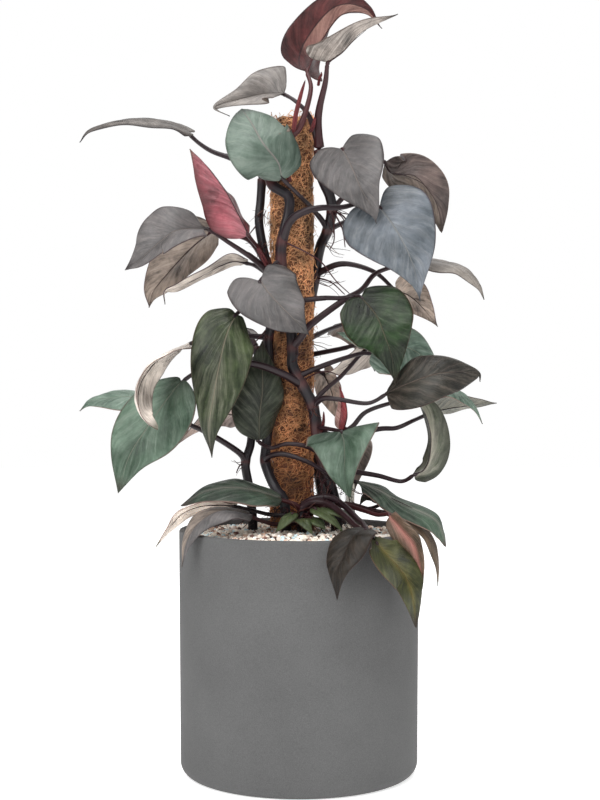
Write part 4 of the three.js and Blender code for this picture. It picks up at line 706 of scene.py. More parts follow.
# Each stem: radii at its foot and top, its line, its stalks, thick aerial roots and fine roots. Fine roots have
# where they spring, which way they reach, how long and how many they are.
vineForm = {
    "stem_front": {
        "radii": (7.6, 6.2), "path": [(48, 10, 262), (46, 8, 326), (41, 5, 351), (33, 3, 376), (24, 1, 414),
            (20, -1, 445), (15, -3, 463), (3, -7, 485), (-8, -8, 507), (-8, -7, 524), (-10, -6, 552),
            (-18, -6, 589), (-23, -6, 645), (-19, -8, 675), (-13, -7, 700), (-14, -7, 720), (-34, -4, 735),
            (-36, 0, 759), (-24, -4, 783), (-10, -8, 799)],
        "stalks": [
            stalk("leaf_crown_maroon", [(-10, -8, 797), (0, -12, 806), (9, -12, 828), (15, -8, 856)], radius=5,
                tone=1.0),
            stalk("leaf_far_left_rolled", [(-34, -4, 737), (-55, 0, 755), (-87, 4, 768), (-109, 6, 776),
                (-125, 6, 786)], radius=4.5),
            stalk("leaf_right_blue_large", [(-21, -7, 664), (-12, -18, 687), (4, -25, 699), (26, -24, 705),
                (54, -14, 706), (78, -12, 711)], radius=6),
            stalk("leaf_centre_heart", [(-23, -6, 640), (-34, -18, 630)]),
            stalk("leaf_right_green_cupped", [(-18, -6, 586), (2, -13, 589), (30, -16, 592), (52, -16, 592),
                (68, -18, 594)]),
            stalk("leaf_right_pale_thin", [(-9, -7, 530), (2, -14, 543), (15, -18, 559), (54, -14, 588),
                (78, -8, 602), (94, 0, 621), (114, 8, 630)], radius=5.5),
            stalk("leaf_right_green_back", [(-1, -8, 494), (22, -12, 504), (49, -12, 514), (76, -8, 522)]),
            stalk("leaf_low_left_large", [(3, -7, 484), (-23, -22, 498), (-60, -36, 510), (-99, -42, 507),
                (-128, -42, 499)], radius=5.5),
            stalk("leaf_right_small_back", [(16, -3, 458), (32, -6, 476), (54, 0, 495), (78, 8, 522)], radius=3.4),
            stalk("leaf_right_dark_arched", [(17, -3, 456), (30, -14, 466), (49, -22, 465), (86, -28, 460)]),
            stalk("leaf_low_centre_sheen", [(21, 0, 430), (36, -18, 428)], radius=3.4),
            stalk("leaf_right_young_red", [(23, 1, 420), (38, -2, 416)], radius=3, tone=0.9),
            stalk("leaf_right_green_point", [(22, 0, 426), (45, -2, 420), (66, -6, 430), (84, -8, 449),
                (118, -6, 461)]),
            stalk("leaf_right_pale_low", [(24, 1, 412), (45, 4, 412), (97, 4, 427), (122, 4, 429), (143, 4, 438)],
                radius=4.2),
            stalk("leaf_right_curled", [(32, 3, 380), (50, 0, 378), (71, -8, 374), (100, -12, 369),
                (128, -14, 362)], radius=4.5),
            stalk("leaf_left_dark_upright", [(28, 2, 396), (9, -12, 406), (-16, -12, 409), (-36, -5, 404)],
                radius=3.6),
        ],
        "roots": [[(-17, -8, 662), (8, -20, 650), (28, -24, 637), (46, -24, 614), (64, -22, 597)], [(3, -6, 488),
            (30, -10, 500), (54, -12, 494)]],
        "rootlets": [((38, 0, 372), (10, -14, -26), 34, 16), ((16, -6, 452), (16, -10, -12), 26, 6), ((-8, -8, 516),
            (18, -6, 10), 30, 5), ((-22, -6, 640), (-14, -4, -24), 22, 5), ((46, 6, 318), (16, -14, -14), 30, 16)],
    },
    "stem_left": {
        "radii": (6.8, 5.6), "path": [(-15, -6, 262), (-18, -6, 332), (-28, -3, 351), (-36, 4, 367), (-42, 11, 386),
            (-41, 11, 407), (-39, 10, 426), (-36, 8, 489), (-39, 10, 537), (-36, 8, 557), (-39, 10, 589),
            (-39, 10, 627), (-44, 17, 650), (-50, 25, 686), (-48, 31, 715), (-46, 33, 743)],
        "stalks": [
            stalk("leaf_left_young_red", [(-39, 10, 630), (-46, 2, 648)], radius=3.4, tone=0.5),
            stalk("leaf_left_drooping", [(-39, 10, 625), (-60, -6, 643), (-90, -13, 663)], radius=4.2),
            stalk("leaf_left_brown_back", [(-41, 13, 634), (-62, 16, 664), (-90, 18, 672)], tone=0.5),
            stalk("leaf_left_pale_thin", [(-39, 10, 622), (-54, 14, 632)], radius=3.4),
            stalk("leaf_left_green_hanging", [(-39, 10, 589), (-58, -10, 588)], radius=3.4),
            stalk("leaf_left_pale_arching", [(-38, 9, 543), (-74, 12, 545), (-112, 8, 543)], radius=3.8),
            stalk("leaf_low_right_green", [(-42, 11, 388), (-36, -4, 394), (-18, -12, 396), (14, -18, 385),
                (45, -20, 366)], radius=4.4),
            stalk("leaf_back_upper", [(-46, 33, 741), (-54, 50, 765)]),
        ],
        "roots": [[(-50, 25, 686), (-56, 20, 680), (-63, 14, 671)], [(-38, 9, 556), (-50, 0, 542), (-59, -6, 533)]],
        "rootlets": [((-44, 14, 660), (-8, -8, -22), 24, 12), ((-40, 10, 600), (-8, -10, -20), 26, 10),
            ((-46, 20, 700), (-8, -10, -16), 20, 8), ((-38, 8, 540), (-8, -10, -12), 24, 6), ((-20, -4, 332),
            (-14, -16, -16), 28, 14)],
    },
    "stem_outer_left": {
        "radii": (6.4, 4.6), "path": [(-56, 14, 262), (-59, 12, 323), (-63, 10, 357), (-67, 10, 384),
            (-61, 12, 407), (-59, 16, 426), (-54, 28, 464), (-51, 40, 501), (-54, 48, 533)],
        "stalks": [
            stalk("leaf_far_left_small", [(-66, 10, 386), (-76, 6, 399), (-109, 0, 420), (-137, -2, 433),
                (-164, 0, 446)], radius=4.6),
            stalk("leaf_left_brown_low", [(-59, 16, 426), (-66, 18, 436)], radius=3.4),
            stalk("leaf_back_low_left", [(-53, 31, 472), (-62, 56, 470)], radius=3.6),
            stalk("leaf_back_left", [(-54, 47, 530), (-64, 60, 548)], radius=3.8),
        ],
        "roots": [[(-66, 10, 384), (-74, 6, 382), (-79, 4, 372)]],
        "rootlets": [((-66, 10, 384), (-12, -6, -6), 16, 4), ((-58, 12, 322), (-14, -10, -12), 24, 8)],
    },
    "stem_right": {
        "radii": (7.2, 6.6), "path": [(33, 58, 262), (31, 60, 326), (26, 62, 364), (16, 68, 414), (8, 72, 477),
            (10, 71, 552), (19, 64, 614), (26, 52, 654), (35, 37, 675), (41, 28, 700), (39, 22, 719), (29, 14, 744),
            (25, 10, 780)],
        "stalks": [
            stalk("leaf_crown_folded", [(25, 10, 778), (24, 2, 820), (33, -12, 862)], radius=6.4, tone=0.55),
            stalk("leaf_upper_left_grey", [(25, 10, 778), (14, 2, 818), (-2, 4, 837)], radius=3.6),
            stalk("leaf_upper_right_grey", [(28, 13, 748), (42, 2, 766)], tone=0.45),
            stalk("leaf_upper_right_brown", [(41, 28, 702), (58, 20, 721), (83, 16, 743)]),
            stalk("leaf_front_round", [(36, 36, 677), (28, 20, 690), (15, 2, 706), (2, -14, 719)], radius=3.8),
            stalk("leaf_right_brown_back", [(20, 62, 622), (54, 46, 635), (94, 40, 625)], radius=4.6),
            stalk("leaf_pole_right_pale", [(9, 71, 520), (50, 58, 528), (84, 40, 535)], radius=3.4),
            stalk("leaf_pole_right_brown", [(8, 72, 490), (20, 80, 500)], radius=3),
            stalk("leaf_back_right_upper", [(36, 36, 677), (60, 58, 688)]),
            stalk("leaf_back_centre", [(19, 64, 616), (4, 88, 632)]),
            stalk("leaf_back_right_middle", [(10, 71, 540), (36, 94, 552)]),
            stalk("leaf_back_low_right", [(13, 69, 430), (28, 94, 412)]),
        ],
        "roots": [[(41, 26, 704), (43, 14, 690), (44, 6, 665), (38, 2, 652)], [(41, 26, 704), (54, 14, 680),
            (58, 8, 655)], [(41, 26, 704), (58, 20, 692), (64, 14, 672), (72, 12, 656)], [(20, 62, 618),
            (40, 40, 612), (58, 30, 596)]],
        "rootlets": [((40, 26, 702), (16, -14, -24), 46, 9), ((19, 60, 616), (26, -16, -10), 40, 7), ((30, 48, 662),
            (22, -14, -14), 40, 6), ((10, 66, 540), (26, -10, -6), 36, 4), ((30, 56, 330), (18, -18, -16), 30, 10)],
    },
    "basal_stems": {
        "radii": (8, 6.5), "path": [(6, -12, 262), (4, -16, 312), (4, -18, 332)],
        "stalks": [
            stalk("leaf_rim_left_green", [(3, -18, 326), (-8, -26, 334)], radius=4.6, tone=0.7),
            stalk("leaf_rim_left_pale", [(2, -18, 318), (-34, -20, 320), (-60, -16, 326)], radius=3),
            stalk("leaf_rim_left_grey", [(3, -16, 310), (-28, -28, 308), (-48, -38, 313)], radius=3.2, tone=0.6),
            stalk("leaf_rim_front_dark", [(4, -18, 331), (18, -20, 340), (39, -26, 342), (58, -46, 330),
                (72, -76, 316), (81, -106, 308)], radius=5, tip=3.4),
            stalk("leaf_rim_right_olive", [(4, -18, 328), (16, -26, 336), (36, -38, 334), (56, -66, 320),
                (75, -104, 303), (90, -124, 296)], radius=5.2, tip=3.4),
            stalk("leaf_rim_right_pink", [(4, -18, 326), (28, -20, 332), (56, -24, 332), (79, -44, 326),
                (98, -68, 320)], radius=3.8, tone=0.8),
            stalk("leaf_rim_right_brown", [(28, -20, 331), (60, -12, 334), (92, -12, 326), (114, -16, 322)],
                radius=3.2, tone=0.7),
            stalk("leaf_rim_right_small", [(60, -12, 334), (84, 0, 328), (100, 4, 332)], radius=2.6),
        ],
        "roots": [[(4, -16, 324), (14, -26, 318), (24, -30, 310), (30, -34, 305)]],
        "rootlets": [((4, -18, 318), (2, -18, -12), 34, 34), ((30, -20, 326), (16, -12, -12), 30, 16),
            ((30, 2, 384), (0, -8, -26), 62, 6), ((42, 0, 376), (2, -8, -26), 62, 8), ((52, 2, 370), (0, -8, -26),
            60, 8), ((60, 6, 358), (0, -8, -24), 46, 6)],
    },
}

# Stems, stalks and roots.
tube = {"sides": 12, "mainSides": 18, "radius": 4, "tip": 2.4,
        "sheathEnd": 0.42, "sheathHalf": 0.55, "sheathLip": 0.28}  # a stalk's sheath: its length and its two lips
aerialRoot = {"sides": 6, "radius": 1.35, "narrowing": 0.7, "tone": 0.7}
fineRoot = {"sides": 5, "scatter": 5, "fan": 0.55, "lean": 18, "bend": 0.3, "lowest": 298.5, "thick": (0.4, 0.85)}


def addTube(bm, frames, sides, radiusAt, tone):  # a closed tube; radiusAt(share, turn) in metres
    layers = {key: bm.verts.layers.float.get(key) or bm.verts.layers.float.new(key) for key in ("node", "tone")}
    rows = len(frames) - 1
    made = bmesh.ops.create_grid(bm, x_segments=sides, y_segments=rows, size=1, calc_uvs=True)["verts"]
    for vert in made:
        turn = math.pi * (vert.co.x + 1)
        one = frames[round((vert.co.y + 1) / 2 * rows)]
        end = min(one["share"], 1 - one["share"])
        radius = 0 if end < 1e-6 else radiusAt(one["share"], turn)
        vert[layers["node"]] = one.get("node", 0)
        vert[layers["tone"]] = tone
        vert.co = one["at"] + (one["side"] * math.cos(turn) - one["up"] * math.sin(turn)) * radius
    weld(bm, made)


def tubeFrames(points, rows):
    tangent = (points[1] - points[0]).normalized()
    side = Vector((0, 1, 0)) if abs(tangent.y) < 0.9 else Vector((1, 0, 0))
    return framesAlong(points, rows, side, 0)


def nearestShare(frames, spot):
    return min(frames, key=lambda one: (one["at"] - spot).length)["share"]


def keelPoints(form):  # from under the base of a blade along the underside of its midrib
    spec = {**leafShape, **form}
    frames = bladeFrames(spec, 60)
    keel = []
    for row, drop, ahead in ((0, 1.9, -1.6), (3, 0.9, 0), (9, 0.75, 0), (18, 0.65, 0), (30, 0.5, 0), (42, 0.4, 0)):
        one = frames[row]
        down = twistedSide(spec, one).cross(one["along"]) * drop / 1000
        keel.append(one["at"] - down + one["along"] * ahead / 1000)
    return keel


def addMainStem(bm, form):
    points = [place(spot) for spot in form["path"]]
    frames = tubeFrames(points, 14 * len(points))
    joints = [nearestShare(frames, place(one["path"][0])) for one in form["stalks"]]
    first, last = form["radii"]
    for one in frames:
        for key, sharpness in (("node", 90), ("swell", 45)):
            one[key] = max([math.exp(-((one["share"] - joint) * sharpness) ** 2) for joint in joints] + [0])

    def radiusAt(share, turn):
        swell = frames[round(share * (len(frames) - 1))]["swell"]
        rib = 0.03 * math.sin(3 * turn + 9 * share)
        return (first + (last - first) * share) / 1000 * (0.97 + 0.1 * swell + rib)

    addTube(bm, frames, tube["mainSides"], radiusAt, 0.0)


def addStalk(bm, stalkForm, draw):
    tip = stalkForm.get("tip", tube["tip"])
    radius = stalkForm.get("radius", tube["radius"])
    points = [place(spot) for spot in stalkForm["path"]]
    spans = len(points)
    points += keelPoints(bladeForm[stalkForm["leaf"]])
    frames = tubeFrames(points, 10 * len(points))
    sheathEnd = tube["sheathEnd"] * draw.uniform(0.8, 1.15)
    sheathTurn = draw.uniform(0, 2 * math.pi)
    joint = spans / (len(points) - 1)  # where the blade begins

    def radiusAt(shareOfAll, turn):
        share = shareOfAll / joint
        if share > 1:
            beyond = (shareOfAll - joint) / (1 - joint)
            return (tip * 0.75 * (1 - smoothStep(0, 0.25, beyond)) + 1.0 - 0.75 * beyond) / 1000
        base = (radius + (tip - radius) * share) / 1000
        flare = 1 + 0.18 * (1 - smoothStep(0, 0.14, share)) + 0.14 * smoothStep(0.85, 0.95, share)
        flare -= 0.3 * smoothStep(0.95, 1, share)
        wing = 0
        if share < sheathEnd:
            for offset in (-tube["sheathHalf"], tube["sheathHalf"]):
                apart = math.atan2(math.sin(turn - sheathTurn - offset), math.cos(turn - sheathTurn - offset))
                wing += math.exp(-(apart / tube["sheathLip"]) ** 2)
        return base * (0.92 * flare + 0.22 * wing)

    addTube(bm, frames, tube["sides"], radiusAt, stalkForm.get("tone", 0.08 + 0.17 * draw.random()))


def addRoot(bm, spots):
    frames = tubeFrames([place(spot) for spot in spots], 10 * len(spots))
    addTube(bm, frames, aerialRoot["sides"],
            lambda share, turn: (aerialRoot["radius"] - aerialRoot["narrowing"] * share) / 1000, aerialRoot["tone"])


def addFineRoot(bm, start, reach, length, draw):
    spot = place([value + draw.uniform(-fineRoot["scatter"], fineRoot["scatter"]) for value in start])
    course = Vector([value + draw.gauss(0, fineRoot["fan"]) * fineRoot["lean"] for value in reach]).normalized()
    points = [spot]
    steps = draw.randint(4, 6)
    for _ in range(steps):
        course = (course + Vector([draw.gauss(0, fineRoot["bend"]) for _ in range(3)])).normalized()
        spot = spot + course * length * draw.uniform(0.7, 1.3) / steps / 1000
        spot.z = max(spot.z, fineRoot["lowest"] / 1000)
        points.append(spot)
    thick = draw.uniform(*fineRoot["thick"]) / 1000
    addTube(bm, tubeFrames(points, 4 * steps), fineRoot["sides"], lambda share, turn: thick * (1 - 0.6 * share),
            draw.uniform(0.2, 1.3))


def makeVine(node):
    form = vineForm[node]
    draw = random.Random(node)
    bm = newMesh()
    addMainStem(bm, form)
    for one in form["stalks"]:
        addStalk(bm, one, draw)
    for spots in form["roots"]:
        addRoot(bm, spots)
    for start, reach, length, count in form["rootlets"]:
        for _ in range(count):
            addFineRoot(bm, start, reach, length, draw)
    faceOut(bm)
    piece = finishPiece(bm, pieceName(node), [stemMaterial], "stem")
    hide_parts(node)


def buildStemMaterial():
    material, tree, surface = newMaterial("stemSkin", Specular_IOR_Level=0.34)
    times, timesPlus, minus = mathsOf(tree)
    coords = objectCoords(tree)
    clouds = noiseOf(tree, coords, 55.0, 4.0, 0.6)
    ring = attributeOf(tree, "node")
    tone = attributeOf(tree, "tone")
    around = partsOf(tree, surfaceUv(tree))[0]
    wander = noiseOf(tree, coords, 20.0, 2.0)
    turn = timesPlus(around, 2 * math.pi * 7, times(wander, 5.0))
    grooves = timesPlus(maths(tree, "SINE", turn), 0.5, 0.5)
    shade = spread(tree, clouds, 0.35, 0.65)
    colour = mixColour(tree, shade, colourOf(*stemTones["dark"]), colourOf(*stemTones["light"]))
    colour = mixColour(tree, times(grooves, 0.3), colour, colourOf(*stemTones["groove"]))
    colour = mixColour(tree, times(tone, 0.8, clamp=True), colour, colourOf(*stemTones["red"]))
    old = minus(tone, 1.05)
    colour = mixColour(tree, times(old, 3.5, clamp=True), colour, colourOf(*stemTones["old"]))
    colour = mixColour(tree, times(ring, 0.6), colour, colourOf(*stemTones["node"]))
    grain = noiseOf(tree, coords, 600.0, 2.0)
    height = timesPlus(grooves, 0.8, times(grain, 0.5))
    paint(tree, surface, colour, timesPlus(clouds, 0.3, 0.24), height, 0.45, 0.6)
    return material


stemTones = {"dark": (9, 6, 9), "light": (25, 18, 24), "groove": (38, 30, 37), "red": (70, 22, 24),
             "old": (124, 92, 70), "node": (80, 42, 40)}
stemMaterial = buildStemMaterial()

# New shoots at the foot of the plant: the midrib and face of each small blade, which stands on a short neck.
shoot = {
    "usual": {"width": 19, "lobe": 2, "wave": 0}, "grid": (14, 24), "thickness": 0.8,
    "neckFoot": (4, -17, 318), "neck": 2.2, "narrowing": 0.9, "tone": 0.4,
    "blades": [
        ([(-7, -34, 322), (-15, -44, 316), (-23, -50, 306), (-30, -52, 297)], (-0.3, -0.7, 1)),
        ([(0, -36, 315), (6, -50, 313), (12, -58, 304), (18, -62, 294)], (0.3, -0.7, 0.6)),
        ([(18, -36, 328), (32, -48, 322), (46, -56, 310), (57, -60, 296)], (0.3, -0.6, 0.7)),
        ([(30, -36, 330), (46, -44, 326), (62, -50, 318), (77, -52, 307)], (0.1, -0.5, 0.8)),
        ([(14, -34, 316), (22, -44, 313), (29, -50, 307), (34, -52, 300)], (0.2, -0.6, 0.7)),
    ],
}
# Red bracts left at the joints, narrow pointed sheaths: the midrib and width of each.
bract = {
    "usual": {"face": (0, 0.95, 0.2), "fold": (38, 38), "lobe": 0, "heel": 0.6, "widest": 0.3, "wave": 0},
    "grid": (10, 18), "thickness": 0.6,
    "blades": [
        ([(-7, -20, 800), (-4, -24, 822), (2, -24, 846), (8, -20, 866)], 6),
        ([(24, -6, 858), (26, -10, 868), (28, -11, 872), (28, -11, 876)], 3),
        ([(-40, -6, 632), (-45, -12, 642), (-50, -15, 651), (-55, -14, 660)], 6),
        ([(-12, -16, 738), (-13, -20, 746), (-14, -20, 752), (-15, -18, 758)], 5),
        ([(14, -2, 800), (17, -6, 806), (19, -8, 813), (20, -8, 820)], 5),
        ([(28, -6, 424), (30, -12, 432), (31, -14, 440), (31, -14, 450)], 4),
    ],
}


def makeSmallBlades(name, forms, grid, look, slotName, thickness):
    bm = newMesh()
    for form in forms:
        mesh = meshOf(bladeMesh(form, *grid), "smallBlade")
        bm.from_mesh(mesh)
        bpy.data.meshes.remove(mesh)
    addWall(finishPiece(bm, name, [look, look], slotName), thickness)


def makeShoots():
    forms = [{**shoot["usual"], "midrib": midrib, "face": face} for midrib, face in shoot["blades"]]
    makeSmallBlades("basalShoots", forms, shoot["grid"], materialFor("shootGreen", 1.0), "leaf_green",
                    shoot["thickness"])
    necks = newMesh()
    foot = [value / 1000 for value in shoot["neckFoot"]]
    for form in forms:
        start, after = (place(spot) for spot in form["midrib"][:2])
        points = [Vector((foot[0] + start.x * 0.2, foot[1], foot[2])), start, start.lerp(after, 0.35)]
        addTube(necks, tubeFrames(points, 18), 8,
                lambda share, turn: (shoot["neck"] - shoot["narrowing"] * share) / 1000, shoot["tone"])
    finishPiece(necks, "basalShootNecks", [stemMaterial], "stem")


def makeBracts():
    forms = [{**bract["usual"], "midrib": midrib, "width": width} for midrib, width in bract["blades"]]
    makeSmallBlades("jointBracts", forms, bract["grid"], materialFor("redShoot", 0.7), "leaf_young_red",
                    bract["thickness"])


# The planter.
planter = {"height": 303, "rimRadius": 150, "footRadius": 134, "footRound": 15, "wall": 8.5, "floor": 14,
           "lip": 2.4, "taper": 1, "steps": 128, "dark": (72, 72, 72), "light": (92, 92, 92)}


def planterProfile():
    rim, foot, top, lip = (planter[key] for key in ("rimRadius", "footRadius", "height", "lip"))
    inner = rim - planter["wall"]
    profile = [(0, 0), (foot, 0)]
    for i in range(1, 11):
        turn = i / 10 * math.pi / 2
        profile.append((foot + (rim - 2 - foot) * math.sin(turn), planter["footRound"] * (1 - math.cos(turn))))
    return profile + [(rim - planter["taper"], 150), (rim, top - lip), (rim - 0.7, top - 0.7), (rim - lip, top),
                      (inner + 1.6, top), (inner + 0.4, top - 0.4), (inner, top - 1.6),
                      (inner - 1.5, planter["floor"] + 10), (foot - 4, planter["floor"]), (0, planter["floor"])]


def makePlanter():
    bm = bmesh.new()
    spin(bm, [(across / 1000, height / 1000) for across, height in planterProfile()], planter["steps"])
    faceOut(bm)
    material, tree, surface = newMaterial("stoneGrey", Specular_IOR_Level=0.35)
    coords = objectCoords(tree)
    speckle = noiseOf(tree, coords, 900.0, 3.0, 0.7)
    clouds = noiseOf(tree, coords, 9.0, 4.0)
    share = maths(tree, "MULTIPLY_ADD", speckle, 0.7, maths(tree, "MULTIPLY", clouds, 0.3))
    share = spread(tree, share, 0.35, 0.65)
    colour = mixColour(tree, share, colourOf(*planter["dark"]), colourOf(*planter["light"]))
    paint(tree, surface, colour, 0.8, speckle, 0.35, 0.4)
    piece = finishPiece(bm, "planter", [material], "pot")
    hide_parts("pot")


# Mineral granulate and soil.
filling = {
    "top": 294, "radius": 140.4, "grains": 3000, "size": (1.9, 5.2, 3.0), "mound": 5, "seed": 11,
    "bare": (6, 14), "bareReach": (14, 44),  # round the stems the soil shows
    # the last and darkest tone is that of dark bits among the stones, and also the bed's painted shade between them
    "palette": [(0.0, (246, 236, 222)), (0.3, (212, 236, 242)), (0.44, (254, 248, 238)), (0.64, (216, 184, 164)),
                (0.74, (124, 92, 82)), (0.84, (234, 220, 208)), (0.95, (70, 50, 42))],
}
soil = {"centre": (-6, 26), "radius": 84, "top": 296, "foot": 130, "footRadius": 70}


def discMesh(radius, rings, steps):
    bm = bmesh.new()
    spin(bm, [(radius * i / rings, 0) for i in range(rings + 1)], steps)
    return bm


def granuleMaterial():
    material, tree, surface = newMaterial("mineralGrains", Specular_IOR_Level=0.4)
    grain = attributeOf(tree, "grain")
    ramp = tree.nodes.new("ShaderNodeValToRGB")
    ramp.color_ramp.interpolation = "CONSTANT"
    stops = ramp.color_ramp.elements
    stops[0].color = colourOf(*filling["palette"][0][1])
    stops.remove(stops[1])
    for at, tone in filling["palette"][1:]:
        stops.new(at).color = colourOf(*tone)
    tree.links.new(grain, ramp.inputs["Fac"])
    clouds = noiseOf(tree, objectCoords(tree), 500.0, 3.0)
    colour = mixColour(tree, maths(tree, "MULTIPLY", clouds, 0.18), ramp.outputs["Color"], colourOf(176, 152, 136))
    paint(tree, surface, colour, 0.85, clouds, 0.5, 0.6)
    return material


def makeGranulate():
    draw = random.Random(filling["seed"])
    bm = discMesh((filling["radius"] - 1) / 1000, 60, 160)
    grain = bm.verts.layers.float.new("grain")
    for vert in bm.verts:
        rough = noise.noise(vert.co * 260) * 1.4
        # the bed between the grains takes the darkest tone, a painted shade in the gaps
        vert[grain] = 0.97
        rise = filling["mound"] * (1 - (vert.co.xy.length / 0.14) ** 2)
        vert.co.z = (filling["top"] - 4.5 + rise + rough) / 1000
    for _ in range(filling["grains"]):
        turn, reach = draw.uniform(0, 2 * math.pi), (filling["radius"] - 3) * math.sqrt(draw.random())
        spot = Vector((reach * math.cos(turn), reach * math.sin(turn), 0))
        inSoil = (spot.xy - Vector(soil["centre"])).length < soil["radius"] - 2
        if inSoil and (spot.xy - Vector(filling["bare"])).length < draw.uniform(*filling["bareReach"]):
            continue
        size = draw.triangular(*filling["size"])
        made = bmesh.ops.create_icosphere(bm, subdivisions=1, radius=size / 1000)["verts"]
        rise = filling["mound"] * (1 - (reach / filling["radius"]) ** 2)
        height = max(soil["top"] + 1 if inSoil else 0, filling["top"] - 1 + rise) + draw.uniform(-1.2, 2.2)
        centre = Vector((spot.x, spot.y, height)) / 1000
        turned = Matrix.Rotation(draw.uniform(0, 6.3), 3, Vector((draw.random(), draw.random(), 1)).normalized())
        squash = Matrix.Diagonal((1, draw.uniform(0.75, 1), draw.uniform(0.7, 0.95)))
        tone = draw.random()
        for vert in made:
            vert.co = turned @ squash @ (vert.co * draw.uniform(0.8, 1.15)) + centre
            vert[grain] = tone
    piece = finishPiece(bm, "mineralGranulate", [granuleMaterial()], "granulate", smooth=False)
    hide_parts("mineral_granulate")


def makeSoil():
    bm = discMesh(soil["radius"] / 1000, 46, 120)
    cx, cy = (value / 1000 for value in soil["centre"])
    for vert in bm.verts:
        rough = noise.noise(vert.co * 190) * 1.6 + noise.noise(vert.co * 620) * 0.9
        vert.co.x += cx
        vert.co.y += cy
        vert.co.z = (soil["top"] + rough) / 1000
    rim = [edge for edge in bm.edges if edge.is_boundary]
    walls = [e for e in bmesh.ops.extrude_edge_only(bm, edges=rim)["geom"] if isinstance(e, bmesh.types.BMVert)]
    narrow = soil["footRadius"] / soil["radius"]
    for vert in walls:
        vert.co = (cx + (vert.co.x - cx) * narrow, cy + (vert.co.y - cy) * narrow, soil["foot"] / 1000)
    closeHoles(bm)
    faceOut(bm)
    material, tree, surface = newMaterial("barkSoil", Specular_IOR_Level=0.3)
    coords = objectCoords(tree)
    crumbs = addNode(tree, "ShaderNodeTexVoronoi", Vector=coords, Scale=330.0)
    tone = partsOf(tree, crumbs.outputs["Color"])[0]
    colour = mixColour(tree, tone, colourOf(38, 26, 22), colourOf(92, 62, 48))
    paint(tree, surface, colour, 0.95, crumbs.outputs["Distance"], 0.8, 2)
    piece = finishPiece(bm, "rootBall", [material], "soil")
    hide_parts("root_ball")


# The coir pole.
pole = {
    "centre": (-9, 35), "radius": 26.6, "foot": 150, "top": 824, "fibres": 5200, "fibreFoot": 288, "thick": 0.46,
    "seed": 23,
    "coats": [("coirFibre", (190, 130, 88), (236, 184, 134)), ("coirFibreDark", (86, 52, 38), (158, 106, 72)),
              ("coirFibreLight", (240, 190, 142), (255, 228, 190))],
}


def coirMaterial(name, dark, light, scale):  # greyer and lighter at the top, with a warmer painted shade below
    material, tree, surface = newMaterial(name, Specular_IOR_Level=0.4)
    coords = objectCoords(tree)
    clouds = noiseOf(tree, coords, scale, 4.0, 0.65)
    share = spread(tree, clouds, 0.34, 0.66)
    colour = mixColour(tree, share, colourOf(*dark), colourOf(*light))
    # painted light and shade on the lumps of the pole
    lumpLightAndShade = noiseOf(tree, coords, 34.0, 3.0, 0.6)
    lumpLightAndShade = spread(tree, lumpLightAndShade, 0.36, 0.64, To_Min=0.35, To_Max=1.45)
    colour = mixColour(tree, 1.0, colour, lumpLightAndShade, "MULTIPLY")
    # darker and warmer below: a painted shade under the leaves
    height = partsOf(tree, coords)[2]
    low = spread(tree, height, 0.62, 0.4)
    colour = mixColour(tree, maths(tree, "MULTIPLY", low, 0.75), colour, (0.78, 0.62, 0.5, 1), "MULTIPLY")
    paint(tree, surface, colour, 0.7, clouds, 0.6, 1.5)
    return material


def makePole():
    cx, cy = (value / 1000 for value in pole["centre"])
    bm = gridMesh(72, 260)
    low, high = pole["foot"] / 1000, (pole["top"] - 2) / 1000
    for vert in bm.verts:
        turn, rise = math.pi * (vert.co.x + 1), (vert.co.y + 1) / 2
        shaggy = noise.noise(Vector((math.cos(turn) * 3.2, math.sin(turn) * 3.2, rise * 62))) * 2.4
        shaggy += noise.noise(Vector((math.cos(turn) * 11, math.sin(turn) * 11, rise * 200))) * 0.9
        top = smoothStep(0.985, 1, rise)
        reach = (pole["radius"] - 1.8 + shaggy) / 1000 * (1 - 0.2 * top)
        vert.co = (cx + reach * math.cos(turn), cy + reach * math.sin(turn), low + (high - low) * rise)
    weld(bm)
    closeHoles(bm)
    faceOut(bm)
    # the sleeve under the fibres is dark, a painted shade in the gaps between them
    piece = finishPiece(bm, "coirSleeve", [coirMaterial("coirShadedCore", (52, 32, 24), (150, 98, 66), 420.0)], "coir")
    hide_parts("coir_pole")


def makeFibres():
    draw = random.Random(pole["seed"])
    line = bpy.data.curves.new("coirFibres", "CURVE")
    line.dimensions = "3D"
    line.bevel_depth = pole["thick"] / 1000
    line.bevel_resolution = 0
    line.resolution_u = 1
    cx, cy = (value / 1000 for value in pole["centre"])
    for _ in range(pole["fibres"]):
        turn = draw.uniform(0, 2 * math.pi)
        height = draw.uniform(pole["fibreFoot"], pole["top"])
        draw.gauss(0, 0.75)  # not used, but it keeps the draws after it in their order
        course = draw.choice((0, math.pi)) + draw.gauss(0.6, 0.7)
        count = draw.choice((4, 5, 5, 6))
        lift = draw.uniform(-1.2, 1.6)
        loose = draw.random() < 0.1
        spots = []
        for i in range(count):
            reach = pole["radius"] + lift + draw.uniform(-0.6, 0.7) + (7.5 * (i / count) ** 2 if loose else 0)
            spots.append((cx + reach * math.cos(turn) / 1000, cy + reach * math.sin(turn) / 1000,
                          min(height, pole["top"] + draw.uniform(0, 7)) / 1000))
            course += draw.gauss(0, 0.45)
            step = draw.uniform(3.2, 5.8)
            turn += step * math.cos(course) / pole["radius"]
            height += step * math.sin(course)
        spline = line.splines.new("POLY")
        spline.points.add(count - 1)
        for point, spot in zip(spline.points, spots):
            point.co = (*spot, 1)
            point.radius = draw.uniform(0.4, 1.15)
        spline.material_index = draw.choice((0, 0, 1, 1, 2))
    curve = addObject("coirFibreCurves", line)
    mesh = bpy.data.meshes.new_from_object(curve.evaluated_get(bpy.context.evaluated_depsgraph_get()))
    bpy.data.objects.remove(curve)
    mesh.name = "coirFibres"
    mesh.materials.clear()
    coats = [coirMaterial(name, dark, light, 300.0) for name, dark, light in pole["coats"]]
    addPiece("coirFibres", mesh, coats, "coir")


